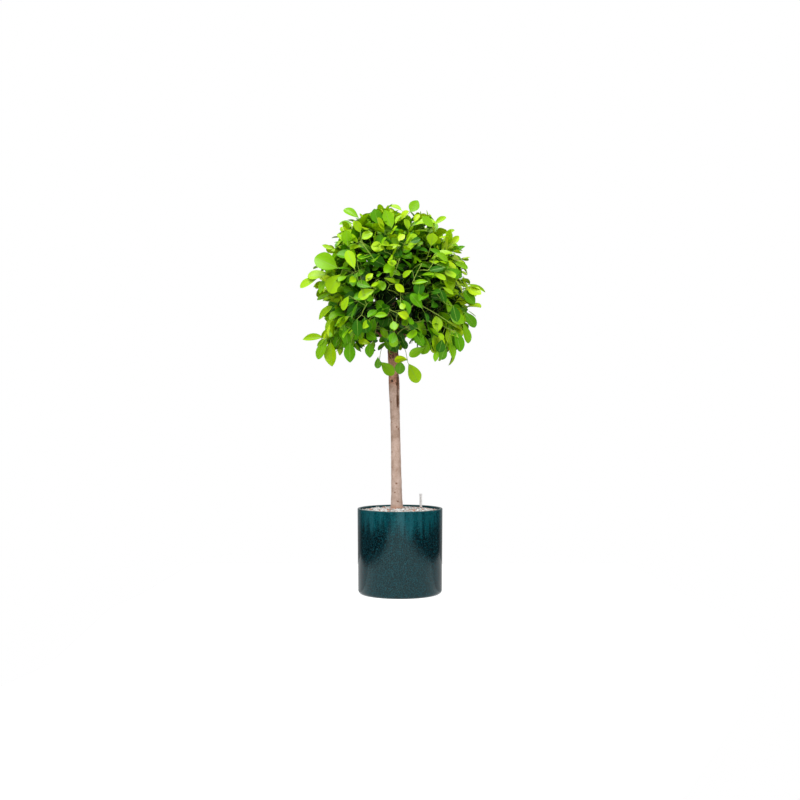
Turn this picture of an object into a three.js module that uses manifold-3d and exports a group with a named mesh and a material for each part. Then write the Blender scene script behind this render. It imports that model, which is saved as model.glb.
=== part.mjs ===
// Potted standard tree: a round crown of leathery leaves on one bare stem, in a glazed cylinder pot.
// Millimetres, +Z up. The origin is the centre of the pot's flat underside. The front is -Y.

import * as THREE from 'three';
import { mergeVertices } from 'three/addons/utils/BufferGeometryUtils.js';
import Module from 'manifold-3d';

// Clear space between pieces that touch
const GAP = 0.3;
// After pieces are joined, edges shorter than a sliver are closed up, and corners keep the corner gap apart
const SLIVER = 0.05;
const CORNER_GAP = 0.0016;

// Pot
const POT_HEIGHT = 350;
const POT_TOP_RADIUS = 175;
const POT_FOOT_RADIUS = 172.5;
const POT_WALL = 12;
const POT_FLOOR = 14;
const POT_FOOT_ROUND = 8;
const POT_RIM_ROUND = 4;
const POT_SIDES = 48;

// Soil and the granules that dress it
const SOIL_TOP = 316;
const DRESSING_EDGE = 339;
const DRESSING_SEAT = 348;
const SEAT_RADIUS = 44;
const DRESSING_RINGS = 4;
const DRESSING_BUMP = 2.2;

// Water gauge that stands in the granules
const GAUGE_PLACE = new THREE.Vector2(87, 80);
const GAUGE_RADIUS = 5;
const GAUGE_TOP = 398;
const GAUGE_CAP_RADIUS = 5.6;
const GAUGE_CAP_HEIGHT = 5;
const GAUGE_CAP_BEVEL = 1.5;
const GAUGE_SIDES = 14;

// Trunk: its flat cut stands on the granules, and it leans towards -X
const TRUNK_FOOT = new THREE.Vector3(-13, 0, DRESSING_SEAT + GAP);
const TRUNK_HEAD = new THREE.Vector3(-32, 0, 1075);
const TRUNK_SWAY = 2.5;
const TRUNK_SIDES = 14;
const TRUNK_STEPS = 24;
const ROOT_FLARE = 5;
const ROOT_FLARE_RISE = 26;
const ROOT_BUTTRESSES = 5;
const TRUNK_RIDGE = 0.5;
const TRUNK_CROWN_RADIUS = 9;
// Radius at heights above the flat cut: slim in the middle, a burr at 515 and a thicker head
const TRUNK_PROFILE = [
  [24, 0],
  [22.6, 60],
  [20.2, 220],
  [19.6, 360],
  [21.2, 450],
  [23, 515],
  [20.8, 560],
  [21.8, 615],
  [22.8, 650],
  [22.4, 690],
  [20, 716],
];

// Crown outline: a dome over a straighter skirt, hollowed underneath
const CROWN = new THREE.Vector3(-29, 0, 1272);
const CROWN_RADIUS = 326;
const CROWN_RISE = 336;
const CROWN_DROP = 312;
const DOME_POWER = 1.9;
const SKIRT_POWER = 4.4;
const UNDERSIDE_HEIGHT = 1030;
const UNDERSIDE_FALL = 0.26;

// Masses of leaves: rings round the crown's axis, and where their boughs leave the trunk's head
const RINGS = [
  {
    name: 'lower', count: 7, turn: 270, radius: 205, height: 1118,
    rootRadius: 8.5, rootHeight: 1038, rootOut: 8, spread: 0.3, climb: 0.15, enter: 0.48,
  },
  {
    name: 'upper', count: 5, turn: 270, radius: 205, height: 1345,
    rootRadius: 6.8, rootHeight: 1060, rootOut: 17.5, spread: 0.3, climb: 0.57, enter: 0.6,
  },
  {
    name: 'top', count: 1, turn: 0, radius: 0, height: 1495,
    rootRadius: 8, rootHeight: 1062, rootOut: 0, spread: 0.05, climb: 0.5, enter: 0.72,
  },
];
const BOUGH_SIDES = 6;
const BOUGH_STEPS = 5;
const BOUGH_TIP_RADIUS = 4.6;
const STEM_TIP_RADIUS = 3.6;
const HEART_RADIUS = 112;
const HEART_MARGIN = 5;
const HEART_DEPTH = 84;
const HEART_STEP = 4;
const HEART_UNEVEN = 0.1;

// Twigs and leaves, larger than life because each leaf stands for two or three
const SEED = 11;
const TWIG_COUNT = 94;
const TWIG_START = 24;
const TWIG_TESTS = 8;
const TWIG_ROOT_RADIUS = 4.2;
const TWIG_TIP_RADIUS = 3;
const TWIG_ARCH = 0.12;
const TWIG_INSET = 44;
const TWIG_GATHER = 0.06;
const TWIG_SPREAD = 16;
const LEAF_LENGTH = 96;
const LEAF_VARIATION = 0.16;
const LEAF_WIDTH = 0.66;
const LEAF_THICKNESS = 0.045;
const LEAF_SUNK = 1.3;
const LEAF_LIFT = 0.45;
const LEAF_PLACES = [0.06, 0.3, 0.54, 0.78, 0.95];
// Turn about the blade's face and share of the full length, in the order that they are tried
const LEAF_TRIES = [
  [0, 1], [0.4, 1], [-0.4, 1], [0.8, 1], [-0.8, 1], [1.3, 1], [-1.3, 1],
  [0, 0.8], [0.6, 0.8], [-0.6, 0.8], [1.2, 0.8], [-1.2, 0.8], [2, 0.8], [-2, 0.8],
];
const SPACE_MARGIN = 0.6;
const LIMB_CLEARANCE = 9;
const TRUNK_GUARD_HEIGHTS = [780, 840, 900, 960, 1000, 1040];
const TRUNK_GUARD_RADIUS = 26;
const GOLDEN_ANGLE = Math.PI * (3 - Math.sqrt(5));

// Long shoots that stand out of the dome: their last leaf, where it ends and how far it hangs
const SHOOT_LEAF = 80;
const SHOOT_SUNK = 3;
const SHOOTS = [
  { tip: [-408, -64, 1276], hang: 0.45 },
  { tip: [-352, -96, 1372], hang: -0.1 },
  { tip: [-228, -50, 1582], hang: 0.4 },
  { tip: [44, -46, 1618], hang: -1.1 },
  { tip: [190, -30, 1546], hang: -0.2 },
  { tip: [352, -50, 1256], hang: 0.4 },
  { tip: [300, -130, 1084], hang: 0.9 },
  { tip: [-402, 10, 1046], hang: 0.15 },
  { tip: [-284, -104, 932], hang: 2.4 },
  { tip: [-204, -150, 946], hang: 2.4 },
  { tip: [148, -150, 952], hang: 2.4 },
  { tip: [226, -100, 966], hang: 2.4 },
];

// Short shoots that hang beside the trunk, under the crown and in front of it
const HANGING = [
  { name: 'hanging_left', seed: [-76, -64, 940], root: 960, arch: [-61, -65, 1016], tip: [-76, -70, 946] },
  { name: 'hanging_right', seed: [40, -68, 930], root: 962, arch: [0, -63, 1018], tip: [36, -72, 944] },
];
const HANGING_LEAF = 66;
const HANGING_LEAF_PLACES = [0.545, 0.713, 0.871, 0.99];
const HANGING_STEM_RADIUS = 3;
const HANGING_STEM_START = 12;

// Finish of each kind of piece: colour, roughness, metalness
const GLAZE = new THREE.MeshStandardMaterial({ color: 0x1b4f57, roughness: 0.16, metalness: 0 });
const EARTH = new THREE.MeshStandardMaterial({ color: 0x3a2b20, roughness: 0.95, metalness: 0 });
const PUMICE = new THREE.MeshStandardMaterial({ color: 0xaaa9a5, roughness: 0.9, metalness: 0 });
const PALE_PLASTIC = new THREE.MeshStandardMaterial({ color: 0xd8d6d2, roughness: 0.25, metalness: 0 });
const BARK = new THREE.MeshStandardMaterial({ color: 0xb29888, roughness: 0.75, metalness: 0 });
const YOUNG_BARK = new THREE.MeshStandardMaterial({ color: 0x4f3430, roughness: 0.8, metalness: 0 });
const LEAF_GREENS = [0x6f9f22, 0x80a915, 0x5c8a20, 0x8cb41c, 0x578a1e];

const wasm = await Module();
wasm.setup();

// The same seed always gives the same run of numbers from 0 to 1
function seededNumbers(seed) {
  let state = seed >>> 0;
  return () => {
    state = (state + 0x6d2b79f5) >>> 0;
    let mixed = Math.imul(state ^ (state >>> 15), state | 1);
    mixed ^= mixed + Math.imul(mixed ^ (mixed >>> 7), mixed | 61);
    return ((mixed ^ (mixed >>> 14)) >>> 0) / 2 ** 32;
  };
}

const random = seededNumbers(SEED);

function vary(amount) {
  return (random() * 2 - 1) * amount;
}

function vector(x = 0, y = 0, z = 0) {
  return new THREE.Vector3(x, y, z);
}

// Closed solids from geometry and back

// Shared corners become one, which needs the normals and texture places gone
function welded(geometry) {
  const bare = geometry.clone();
  bare.deleteAttribute('normal');
  bare.deleteAttribute('uv');
  return mergeVertices(bare, 1e-3);
}

function toSolid(geometry) {
  const merged = welded(geometry);
  const index = merged.index.array;
  const corners = [];
  for (let i = 0; i < index.length; i += 3) {
    const [a, b, c] = [index[i], index[i + 1], index[i + 2]];
    if (a !== b && b !== c && c !== a) corners.push(a, b, c);
  }
  return new wasm.Manifold(new wasm.Mesh({
    numProp: 3,
    vertProperties: new Float32Array(merged.attributes.position.array),
    triVerts: new Uint32Array(corners),
  }));
}

function toGeometry(solid) {
  const mesh = solid.getMesh();
  const geometry = new THREE.BufferGeometry();
  geometry.setAttribute('position', new THREE.BufferAttribute(new Float32Array(mesh.vertProperties), 3));
  geometry.setIndex(new THREE.BufferAttribute(new Uint32Array(mesh.triVerts), 1));
  geometry.computeVertexNormals();
  return geometry;
}

// All the pieces as one body: a loose scrap is dropped and a sealed hollow is filled
function fuse(solids) {
  const bodies = wasm.Manifold.union(solids).simplify(SLIVER).decompose();
  return bodies.reduce((most, body) => (body.volume() > most.volume() ? body : most));
}

// The two corners of a solid that lie closest together, and the gap between them
function closestCorners(solid) {
  const geometry = toGeometry(solid);
  const place = geometry.attributes.position;
  const corners = Array.from({ length: place.count }, (_, i) => vector().fromBufferAttribute(place, i));
  let closest = { gap: Infinity };
  corners.forEach((a, i) => {
    for (const b of corners.slice(i + 1)) {
      const gap = a.distanceTo(b);
      if (gap < closest.gap) closest = { gap, corner: a };
    }
  });
  return closest;
}

// Wood and leaves as one body; a leaf that meets another edge to edge leaves a sliver, and is dropped
function fuseMass({ wood, blades }) {
  const body = fuse([...wood, ...blades.map(({ blade }) => blade)]);
  const { gap, corner } = closestCorners(body);
  if (gap > CORNER_GAP || !blades.length) return body;
  const nearest = blades.reduce((best, next) => (
    next.middle.distanceTo(corner) < best.middle.distanceTo(corner) ? next : best));
  return fuseMass({ wood, blades: blades.filter((blade) => blade !== nearest) });
}

function geometryFrom(points, corners) {
  const geometry = new THREE.BufferGeometry();
  geometry.setAttribute('position', new THREE.Float32BufferAttribute(points.flatMap((p) => p.toArray()), 3));
  geometry.setIndex(corners);
  return geometry;
}

// A turned body about Z, from its half outline as [radius, height] pairs
function turned(outline, sides) {
  const geometry = new THREE.LatheGeometry(outline.map(([r, z]) => new THREE.Vector2(r, z)), sides);
  geometry.rotateX(Math.PI / 2);
  return geometry;
}

// A tapering limb along a curve, with flat ends square to it
function limb(curve, radiusAt, sides, steps) {
  const frames = curve.computeFrenetFrames(steps, false);
  const points = [];
  for (let i = 0; i <= steps; i++) {
    const along = i / steps;
    const centre = curve.getPointAt(along);
    for (let j = 0; j < sides; j++) {
      const angle = (j / sides) * 2 * Math.PI;
      points.push(centre.clone()
        .addScaledVector(frames.normals[i], Math.cos(angle) * radiusAt(along))
        .addScaledVector(frames.binormals[i], Math.sin(angle) * radiusAt(along)));
    }
  }
  const corners = [];
  for (let i = 0; i < steps; i++) {
    for (let j = 0; j < sides; j++) {
      const next = (j + 1) % sides;
      const [a, b] = [i * sides + j, i * sides + next];
      corners.push(a, b, b + sides, a, b + sides, a + sides);
    }
  }
  const last = steps * sides;
  for (let j = 1; j < sides - 1; j++) {
    corners.push(0, j + 1, j, last, last + j, last + j + 1);
  }
  return geometryFrom(points, corners);
}

function taper(from, to) {
  return (along) => from + (to - from) * along;
}

// Pot, soil, granules and gauge

function roundedCorner(centreRadius, centreHeight, round, fromDegrees, toDegrees, steps) {
  const points = [];
  for (let i = 0; i <= steps; i++) {
    const angle = THREE.MathUtils.degToRad(fromDegrees + ((toDegrees - fromDegrees) * i) / steps);
    points.push([centreRadius + round * Math.cos(angle), centreHeight + round * Math.sin(angle)]);
  }
  return points;
}

function potInnerRadius(height) {
  const outer = THREE.MathUtils.lerp(POT_FOOT_RADIUS, POT_TOP_RADIUS, height / POT_HEIGHT);
  return outer - POT_WALL;
}

function potGeometry() {
  const rimHeight = POT_HEIGHT - POT_RIM_ROUND;
  const rimInner = potInnerRadius(POT_HEIGHT) + POT_RIM_ROUND;
  return turned([
    [0, 0],
    ...roundedCorner(POT_FOOT_RADIUS - POT_FOOT_ROUND, POT_FOOT_ROUND, POT_FOOT_ROUND, -90, 0, 3),
    ...roundedCorner(POT_TOP_RADIUS - POT_RIM_ROUND, rimHeight, POT_RIM_ROUND, 0, 90, 2),
    ...roundedCorner(rimInner, rimHeight, POT_RIM_ROUND, 90, 180, 2),
    [potInnerRadius(POT_FLOOR), POT_FLOOR],
    [0, POT_FLOOR],
  ], POT_SIDES);
}

function soilGeometry() {
  const bottom = POT_FLOOR + GAP;
  return turned([
    [0, bottom],
    [potInnerRadius(bottom) - 2 * GAP, bottom],
    [potInnerRadius(SOIL_TOP) - 2 * GAP, SOIL_TOP],
    [0, SOIL_TOP],
  ], POT_SIDES);
}

function dressingHeight(radius) {
  const out = Math.max(0, radius - SEAT_RADIUS) / (potInnerRadius(SOIL_TOP) - SEAT_RADIUS);
  return THREE.MathUtils.lerp(DRESSING_SEAT, DRESSING_EDGE, out);
}

// The granules: a shallow mound with an uneven top and a flat seat for the trunk
function dressingSolid() {
  const bottom = SOIL_TOP + GAP;
  const edge = potInnerRadius(SOIL_TOP) - 2 * GAP;
  const outline = [[0, bottom], [edge, bottom]];
  for (let i = 0; i <= DRESSING_RINGS; i++) {
    const radius = THREE.MathUtils.lerp(edge, SEAT_RADIUS, i / DRESSING_RINGS);
    outline.push([radius, dressingHeight(radius)]);
  }
  outline.push([0, DRESSING_SEAT]);
  const mound = welded(turned(outline, POT_SIDES * 0.75));
  const place = mound.attributes.position;
  for (let i = 0; i < place.count; i++) {
    const radius = Math.hypot(place.getX(i), place.getY(i));
    const onTop = place.getZ(i) > bottom + 1;
    if (onTop && radius > SEAT_RADIUS + 1) place.setZ(i, place.getZ(i) - random() * DRESSING_BUMP);
  }
  const hole = gaugeShaft(GAUGE_RADIUS + GAP, SOIL_TOP);
  hole.translate(GAUGE_PLACE.x, GAUGE_PLACE.y, 0);
  return toSolid(mound).subtract(toSolid(hole));
}

function gaugeShaft(radius, bottom) {
  return turned([[0, bottom], [radius, bottom], [radius, GAUGE_TOP], [0, GAUGE_TOP]], GAUGE_SIDES);
}

function gaugeCapGeometry() {
  const bottom = GAUGE_TOP + GAP;
  const top = bottom + GAUGE_CAP_HEIGHT;
  return turned([
    [0, bottom],
    [GAUGE_CAP_RADIUS, bottom],
    [GAUGE_CAP_RADIUS, top - GAUGE_CAP_BEVEL],
    [GAUGE_CAP_RADIUS - GAUGE_CAP_BEVEL, top],
    [0, top],
  ], GAUGE_SIDES);
}

// Trunk

function trunkCentre(height) {
  const rise = (height - TRUNK_FOOT.z) / (TRUNK_HEAD.z - TRUNK_FOOT.z);
  const sway = Math.sin(rise * Math.PI) * TRUNK_SWAY;
  return vector(THREE.MathUtils.lerp(TRUNK_FOOT.x, TRUNK_HEAD.x, rise) + sway, 0, height);
}

// A turned body that is bent along the lean, with root flare and slight ridges; extra swells it all over
function trunkSolid(extra = 0) {
  const profile = new THREE.SplineCurve(TRUNK_PROFILE.map(([r, z]) => new THREE.Vector2(r, z)));
  const outline = profile.getPoints(TRUNK_STEPS).map((p) => [p.x + extra, p.y]);
  const top = TRUNK_HEAD.z - TRUNK_FOOT.z;
  const geometry = turned([
    [0, 0],
    ...outline,
    [TRUNK_CROWN_RADIUS + extra, top + extra],
    [0, top + extra],
  ], TRUNK_SIDES);
  const place = geometry.attributes.position;
  for (let i = 0; i < place.count; i++) {
    const [x, y, z] = [place.getX(i), place.getY(i), place.getZ(i)];
    const angle = Math.atan2(y, x);
    const buttress = 1 + 0.5 * Math.cos(ROOT_BUTTRESSES * angle + 1);
    const flare = ROOT_FLARE * Math.exp(-z / ROOT_FLARE_RISE) * buttress;
    const ridge = TRUNK_RIDGE * Math.cos(3 * angle + z / 90);
    const radius = Math.hypot(x, y);
    const swell = radius > 1 ? (radius + flare + ridge) / radius : 1;
    const centre = trunkCentre(z + TRUNK_FOOT.z);
    place.setXYZ(i, x * swell + centre.x, y * swell, z + TRUNK_FOOT.z);
  }
  return toSolid(geometry);
}

// Crown outline and the space of each mass

function crownReach(direction) {
  const power = direction.z > 0 ? DOME_POWER : SKIRT_POWER;
  const height = direction.z > 0 ? CROWN_RISE : CROWN_DROP;
  const across = Math.hypot(direction.x, direction.y) / CROWN_RADIUS;
  const upright = Math.abs(direction.z) / height;
  return (across ** power + upright ** power) ** (-1 / power);
}

function crownPoint(direction, inset) {
  return CROWN.clone().addScaledVector(direction, crownReach(direction) - inset);
}

function withinCrown(point) {
  const offset = point.clone().sub(CROWN);
  const distance = offset.length();
  const across = Math.hypot(offset.x, offset.y);
  const underside = UNDERSIDE_HEIGHT - UNDERSIDE_FALL * across;
  return distance <= crownReach(offset.divideScalar(distance)) && point.z >= underside;
}

// A point belongs to the mass whose seed is nearest, and stays a margin away from the neighbours' space
function spaceMargin(point, mass, masses) {
  const own = point.distanceToSquared(mass.seed);
  let least = Infinity;
  for (const other of masses) {
    if (other === mass) continue;
    const toOther = point.distanceToSquared(other.seed);
    least = Math.min(least, (toOther - own) / (2 * mass.seed.distanceTo(other.seed)));
  }
  return least;
}

function nearestMass(point, masses) {
  return masses.reduce((best, mass) => (
    point.distanceToSquared(mass.seed) < point.distanceToSquared(best.seed) ? mass : best));
}

// The limbs as balls along their middle lines, for keeping twigs and leaves clear of them
const limbBalls = [];

function noteLimb(curve, radius) {
  const count = Math.ceil(curve.getLength() / 8);
  for (let i = 0; i <= count; i++) limbBalls.push({ centre: curve.getPointAt(i / count), radius });
}

function clearOfLimbs(point) {
  return limbBalls.every(({ centre, radius }) => point.distanceTo(centre) > radius + LIMB_CLEARANCE);
}

// Boughs and the stems that carry their masses on

function crownMasses() {
  const masses = [];
  for (const ring of RINGS) {
    for (let i = 0; i < ring.count; i++) {
      const angle = THREE.MathUtils.degToRad(ring.turn + (i * 360) / ring.count);
      const outward = vector(Math.cos(angle), Math.sin(angle), 0);
      const label = ring.count > 1 ? `${ring.name}_${i + 1}` : ring.name;
      const seed = vector(CROWN.x, CROWN.y, ring.height).addScaledVector(outward, ring.radius);
      masses.push({ label, seed, outward, ring });
    }
  }
  return masses;
}

// The middle line from inside the trunk's head out to the mass's heart
function boughLine(mass) {
  const { ring, outward, seed } = mass;
  const root = trunkCentre(ring.rootHeight).addScaledVector(outward, ring.rootOut);
  const span = root.distanceTo(seed);
  const bend = root.clone()
    .addScaledVector(outward, span * ring.spread)
    .add(vector(0, 0, span * ring.climb));
  return new THREE.QuadraticBezierCurve3(root, bend, seed);
}

// A stretch of a longer curve, which keeps its direction at both ends
class Stretch extends THREE.Curve {
  constructor(whole, from, to) {
    super();
    this.whole = whole;
    this.from = from;
    this.to = to;
  }

  getPoint(along) {
    return this.whole.getPointAt(THREE.MathUtils.lerp(this.from, this.to, along));
  }
}

function growBough(mass, trunkClearance) {
  const line = boughLine(mass);
  const length = line.getLength();
  const end = mass.ring.enter;
  const path = new Stretch(line, 0, end);
  noteLimb(path, mass.ring.rootRadius);
  mass.stemLine = new Stretch(line, end + (1.2 * GAP) / length, 1);
  const whole = limb(path, taper(mass.ring.rootRadius, BOUGH_TIP_RADIUS), BOUGH_SIDES, BOUGH_STEPS);
  return fuse([toSolid(whole).subtract(trunkClearance)]);
}

// Leaves: a five-cornered blade with a raised midrib, pointed at its foot and blunt at its tip

function leafPoints(root, axis, face, length) {
  const across = face.clone().cross(axis).normalize();
  const up = axis.clone().cross(across).normalize();
  const width = length * LEAF_WIDTH;
  const at = (along, side, rise) => root.clone()
    .addScaledVector(axis, along * length)
    .addScaledVector(across, side * width)
    .addScaledVector(up, rise * length);
  return [
    at(0, 0, 0),
    at(0.56, -0.5, 0),
    at(1, -0.19, -0.04),
    at(1, 0.19, -0.04),
    at(0.56, 0.5, 0),
    at(0.4, 0, LEAF_THICKNESS),
  ];
}

// Top faces round the midrib's crest, then the underside
const LEAF_CREST = 5;
const LEAF_CORNERS = [
  0, 1, LEAF_CREST,
  1, 2, LEAF_CREST,
  2, 3, LEAF_CREST,
  3, 4, LEAF_CREST,
  4, 0, LEAF_CREST,
  0, 4, 1,
  1, 4, 3,
  1, 3, 2,
];

function leafSolid(points) {
  return toSolid(geometryFrom(points, LEAF_CORNERS));
}

// How far leaves hang: up and out on the dome, straight down at the skirt
function hangAt(point) {
  return THREE.MathUtils.mapLinear(point.z, CROWN.z + CROWN_RISE, CROWN.z - CROWN_DROP, -0.35, 1.5);
}

function outwardAt(point) {
  return point.clone().sub(CROWN).normalize();
}

function crosses(solid, others) {
  return others.some((other) => other !== solid && solid.intersect(other).volume() > 0.01);
}

// Adds a leaf at the first of a few turns that keeps it in the mass's space and off its neighbours
function addLeaf(mass, masses, twig, root, axis, face, length) {
  const nearBlades = mass.blades.filter(({ middle }) => middle.distanceTo(root) < 2 * length);
  const otherWood = mass.wood.filter((wood) => wood !== twig.solid);
  const others = [...nearBlades.map(({ blade }) => blade), ...otherWood];
  for (const [turn, share] of LEAF_TRIES) {
    const points = leafPoints(root, axis.clone().applyAxisAngle(face, turn), face, length * share);
    const fits = points.slice(1).every((point) => (
      spaceMargin(point, mass, masses) > SPACE_MARGIN && twig.within(point) && clearOfLimbs(point)));
    if (!fits) continue;
    const blade = leafSolid(points);
    if (crosses(blade, others)) continue;
    mass.blades.push({ blade, middle: points[LEAF_CREST] });
    return;
  }
}

// Twigs leave the mass's heart on the side that they grow towards
function twigStart(mass, end) {
  return mass.seed.clone().addScaledVector(end.clone().sub(mass.seed).normalize(), TWIG_START);
}

function twigFits(path, mass, masses) {
  return path.getSpacedPoints(TWIG_TESTS).every((point) => (
    spaceMargin(point, mass, masses) > TWIG_ROOT_RADIUS && clearOfLimbs(point)));
}

// A twig arches a little; one that would leave the space or touch a limb is left out
function addTwig(mass, masses, end, hang, within) {
  const start = twigStart(mass, end);
  const bend = start.clone().lerp(end, 0.55).add(vector(0, 0, TWIG_ARCH * start.distanceTo(end)));
  const path = new THREE.QuadraticBezierCurve3(start, bend, end);
  if (!twigFits(path, mass, masses)) return null;
  const solid = toSolid(limb(path, taper(TWIG_ROOT_RADIUS, TWIG_TIP_RADIUS), 3, 2));
  const twig = { path, solid, hang, within };
  mass.wood.push(solid);
  mass.twigs.push(twig);
  return twig;
}

// Leaves alternate along the outer half of a twig, and one ends it
function leafUp(mass, masses, twig) {
  const knee = twig.path.getPointAt(0.5);
  const end = twig.path.getPointAt(1);
  const along = end.clone().sub(knee).normalize();
  const places = twig.ended ? LEAF_PLACES.slice(0, -1) : LEAF_PLACES;
  places.forEach((place, index) => {
    const last = index === LEAF_PLACES.length - 1;
    const joint = knee.clone().lerp(end, place);
    const outward = outwardAt(joint);
    const side = along.clone().cross(outward).normalize().multiplyScalar(index % 2 ? 1 : -1);
    const axis = along.clone().multiplyScalar(last ? 1 : 0.45)
      .addScaledVector(side, last ? vary(0.3) : 0.9)
      .addScaledVector(outward, LEAF_LIFT)
      .add(vector(vary(0.2), vary(0.2), -twig.hang + vary(0.25)))
      .normalize();
    const face = outward.clone().add(vector(vary(0.35), vary(0.35), 0.45 + vary(0.3)));
    face.addScaledVector(axis, -face.dot(axis)).normalize();
    const root = joint.addScaledVector(axis, -LEAF_SUNK);
    addLeaf(mass, masses, twig, root, axis, face, LEAF_LENGTH * (1 + vary(LEAF_VARIATION)));
  });
}

// Twigs are dealt evenly over the whole outline, each to the mass whose space it ends in, and drawn
// together a little towards that mass's front so that its leaves have room
function growTwigs(masses, ownMasses) {
  for (let i = 0; i < TWIG_COUNT; i++) {
    const height = 1 - (2 * i + 1) / TWIG_COUNT;
    const flat = Math.sqrt(1 - height * height);
    const turn = i * GOLDEN_ANGLE;
    const direction = vector(flat * Math.cos(turn), flat * Math.sin(turn), height);
    const mass = nearestMass(crownPoint(direction, TWIG_INSET), masses);
    if (!ownMasses.includes(mass)) continue;
    direction.lerp(outwardAt(mass.seed), TWIG_GATHER).normalize();
    const end = crownPoint(direction, TWIG_INSET + vary(TWIG_SPREAD));
    const across = Math.hypot(end.x - CROWN.x, end.y - CROWN.y);
    end.z = Math.max(end.z, UNDERSIDE_HEIGHT + LEAF_LENGTH * 0.5 - UNDERSIDE_FALL * across);
    addTwig(mass, masses, end, hangAt(end), withinCrown);
  }
}

// A long shoot ends in a leaf whose tip lies where the outline is furthest out
function growShoots(masses) {
  for (const { tip, hang } of SHOOTS) {
    const target = vector(...tip);
    const axis = outwardAt(target).add(vector(0, 0, -hang)).normalize();
    const end = target.clone().addScaledVector(axis, -SHOOT_LEAF);
    const mass = nearestMass(end, masses);
    const twig = addTwig(mass, masses, end, hang * 0.6, () => true);
    if (!twig) continue;
    twig.ended = true;
    const face = outwardAt(target).add(vector(0, -0.3, 0.5));
    face.addScaledVector(axis, -face.dot(axis)).normalize();
    addLeaf(mass, masses, twig, end.addScaledVector(axis, -SHOOT_SUNK), axis, face, SHOOT_LEAF + SHOOT_SUNK);
  }
}

// How far a point lies under the crown's outline
function depthInCrown(point) {
  const offset = point.clone().sub(CROWN);
  const distance = offset.length();
  return crownReach(offset.divideScalar(distance)) - distance;
}

// A dense heart that the leaves stand out of: a smaller copy of the mass's own space, clear of the limbs
function heart(mass, masses) {
  const ball = welded(new THREE.IcosahedronGeometry(1, 1));
  const place = ball.attributes.position;
  for (let i = 0; i < place.count; i++) {
    const direction = vector(place.getX(i), place.getY(i), place.getZ(i));
    const reach = (distance) => mass.seed.clone().addScaledVector(direction, distance);
    const free = (point) => (
      spaceMargin(point, mass, masses) > HEART_MARGIN
      && depthInCrown(point) > HEART_DEPTH
      && point.z > UNDERSIDE_HEIGHT
      && clearOfLimbs(point));
    let distance = HEART_STEP;
    while (distance < HEART_RADIUS && free(reach(distance + HEART_STEP))) distance += HEART_STEP;
    const point = reach(distance * (1 - Math.abs(vary(HEART_UNEVEN))));
    place.setXYZ(i, point.x, point.y, point.z);
  }
  return toSolid(ball);
}

function stemSolid(mass) {
  return toSolid(limb(mass.stemLine, taper(BOUGH_TIP_RADIUS, STEM_TIP_RADIUS), 5, 3));
}

// The hanging shoots: a thin stem from the trunk's head, arched over and down, with a few leaves
function hangingMass({ name, seed, root, arch, tip }) {
  const archPoint = vector(...arch);
  const centre = trunkCentre(root);
  const away = archPoint.clone().sub(centre).setZ(0).normalize();
  const start = centre.addScaledVector(away, HANGING_STEM_START);
  const stemLine = new THREE.CatmullRomCurve3([start, archPoint, vector(...tip)]);
  return { label: name, seed: vector(...seed), outward: away, stemLine, wood: [], blades: [] };
}

function growHanging(mass, masses, trunkClearance) {
  const stem = toSolid(limb(mass.stemLine, taper(HANGING_STEM_RADIUS, TWIG_TIP_RADIUS), 4, 6));
  const twig = { solid: stem.subtract(trunkClearance), within: () => true };
  mass.wood.push(twig.solid);
  HANGING_LEAF_PLACES.forEach((place, index) => {
    const joint = mass.stemLine.getPointAt(place);
    const side = mass.outward.clone().applyAxisAngle(vector(0, 0, 1), index % 2 ? 1.2 : -1.2);
    const axis = vector(side.x * 0.55, side.y * 0.55 - 0.25, -1).normalize();
    const face = vector(side.x * 0.4, -1, 0.35);
    face.addScaledVector(axis, -face.dot(axis)).normalize();
    const root = joint.addScaledVector(axis, -LEAF_SUNK);
    addLeaf(mass, masses, twig, root, axis, face, HANGING_LEAF * (1 + vary(0.1)));
  });
}

// The whole object

function mesh(name, geometry, material, origin = vector(0, 0, 0)) {
  geometry.translate(-origin.x, -origin.y, -origin.z);
  const piece = new THREE.Mesh(geometry, material);
  piece.name = name;
  piece.position.copy(origin);
  return piece;
}

function pottedBase() {
  const base = new THREE.Group();
  const gauge = vector(GAUGE_PLACE.x, GAUGE_PLACE.y, 0);
  const tube = mesh('gauge_tube', gaugeShaft(GAUGE_RADIUS, SOIL_TOP + GAP), PALE_PLASTIC);
  const cap = mesh('gauge_cap', gaugeCapGeometry(), PALE_PLASTIC);
  tube.position.copy(gauge);
  cap.position.copy(gauge);
  base.add(mesh('pot', potGeometry(), GLAZE));
  base.add(mesh('soil', soilGeometry(), EARTH));
  base.add(mesh('granules', toGeometry(dressingSolid()), PUMICE));
  base.add(tube, cap);
  return base;
}

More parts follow.
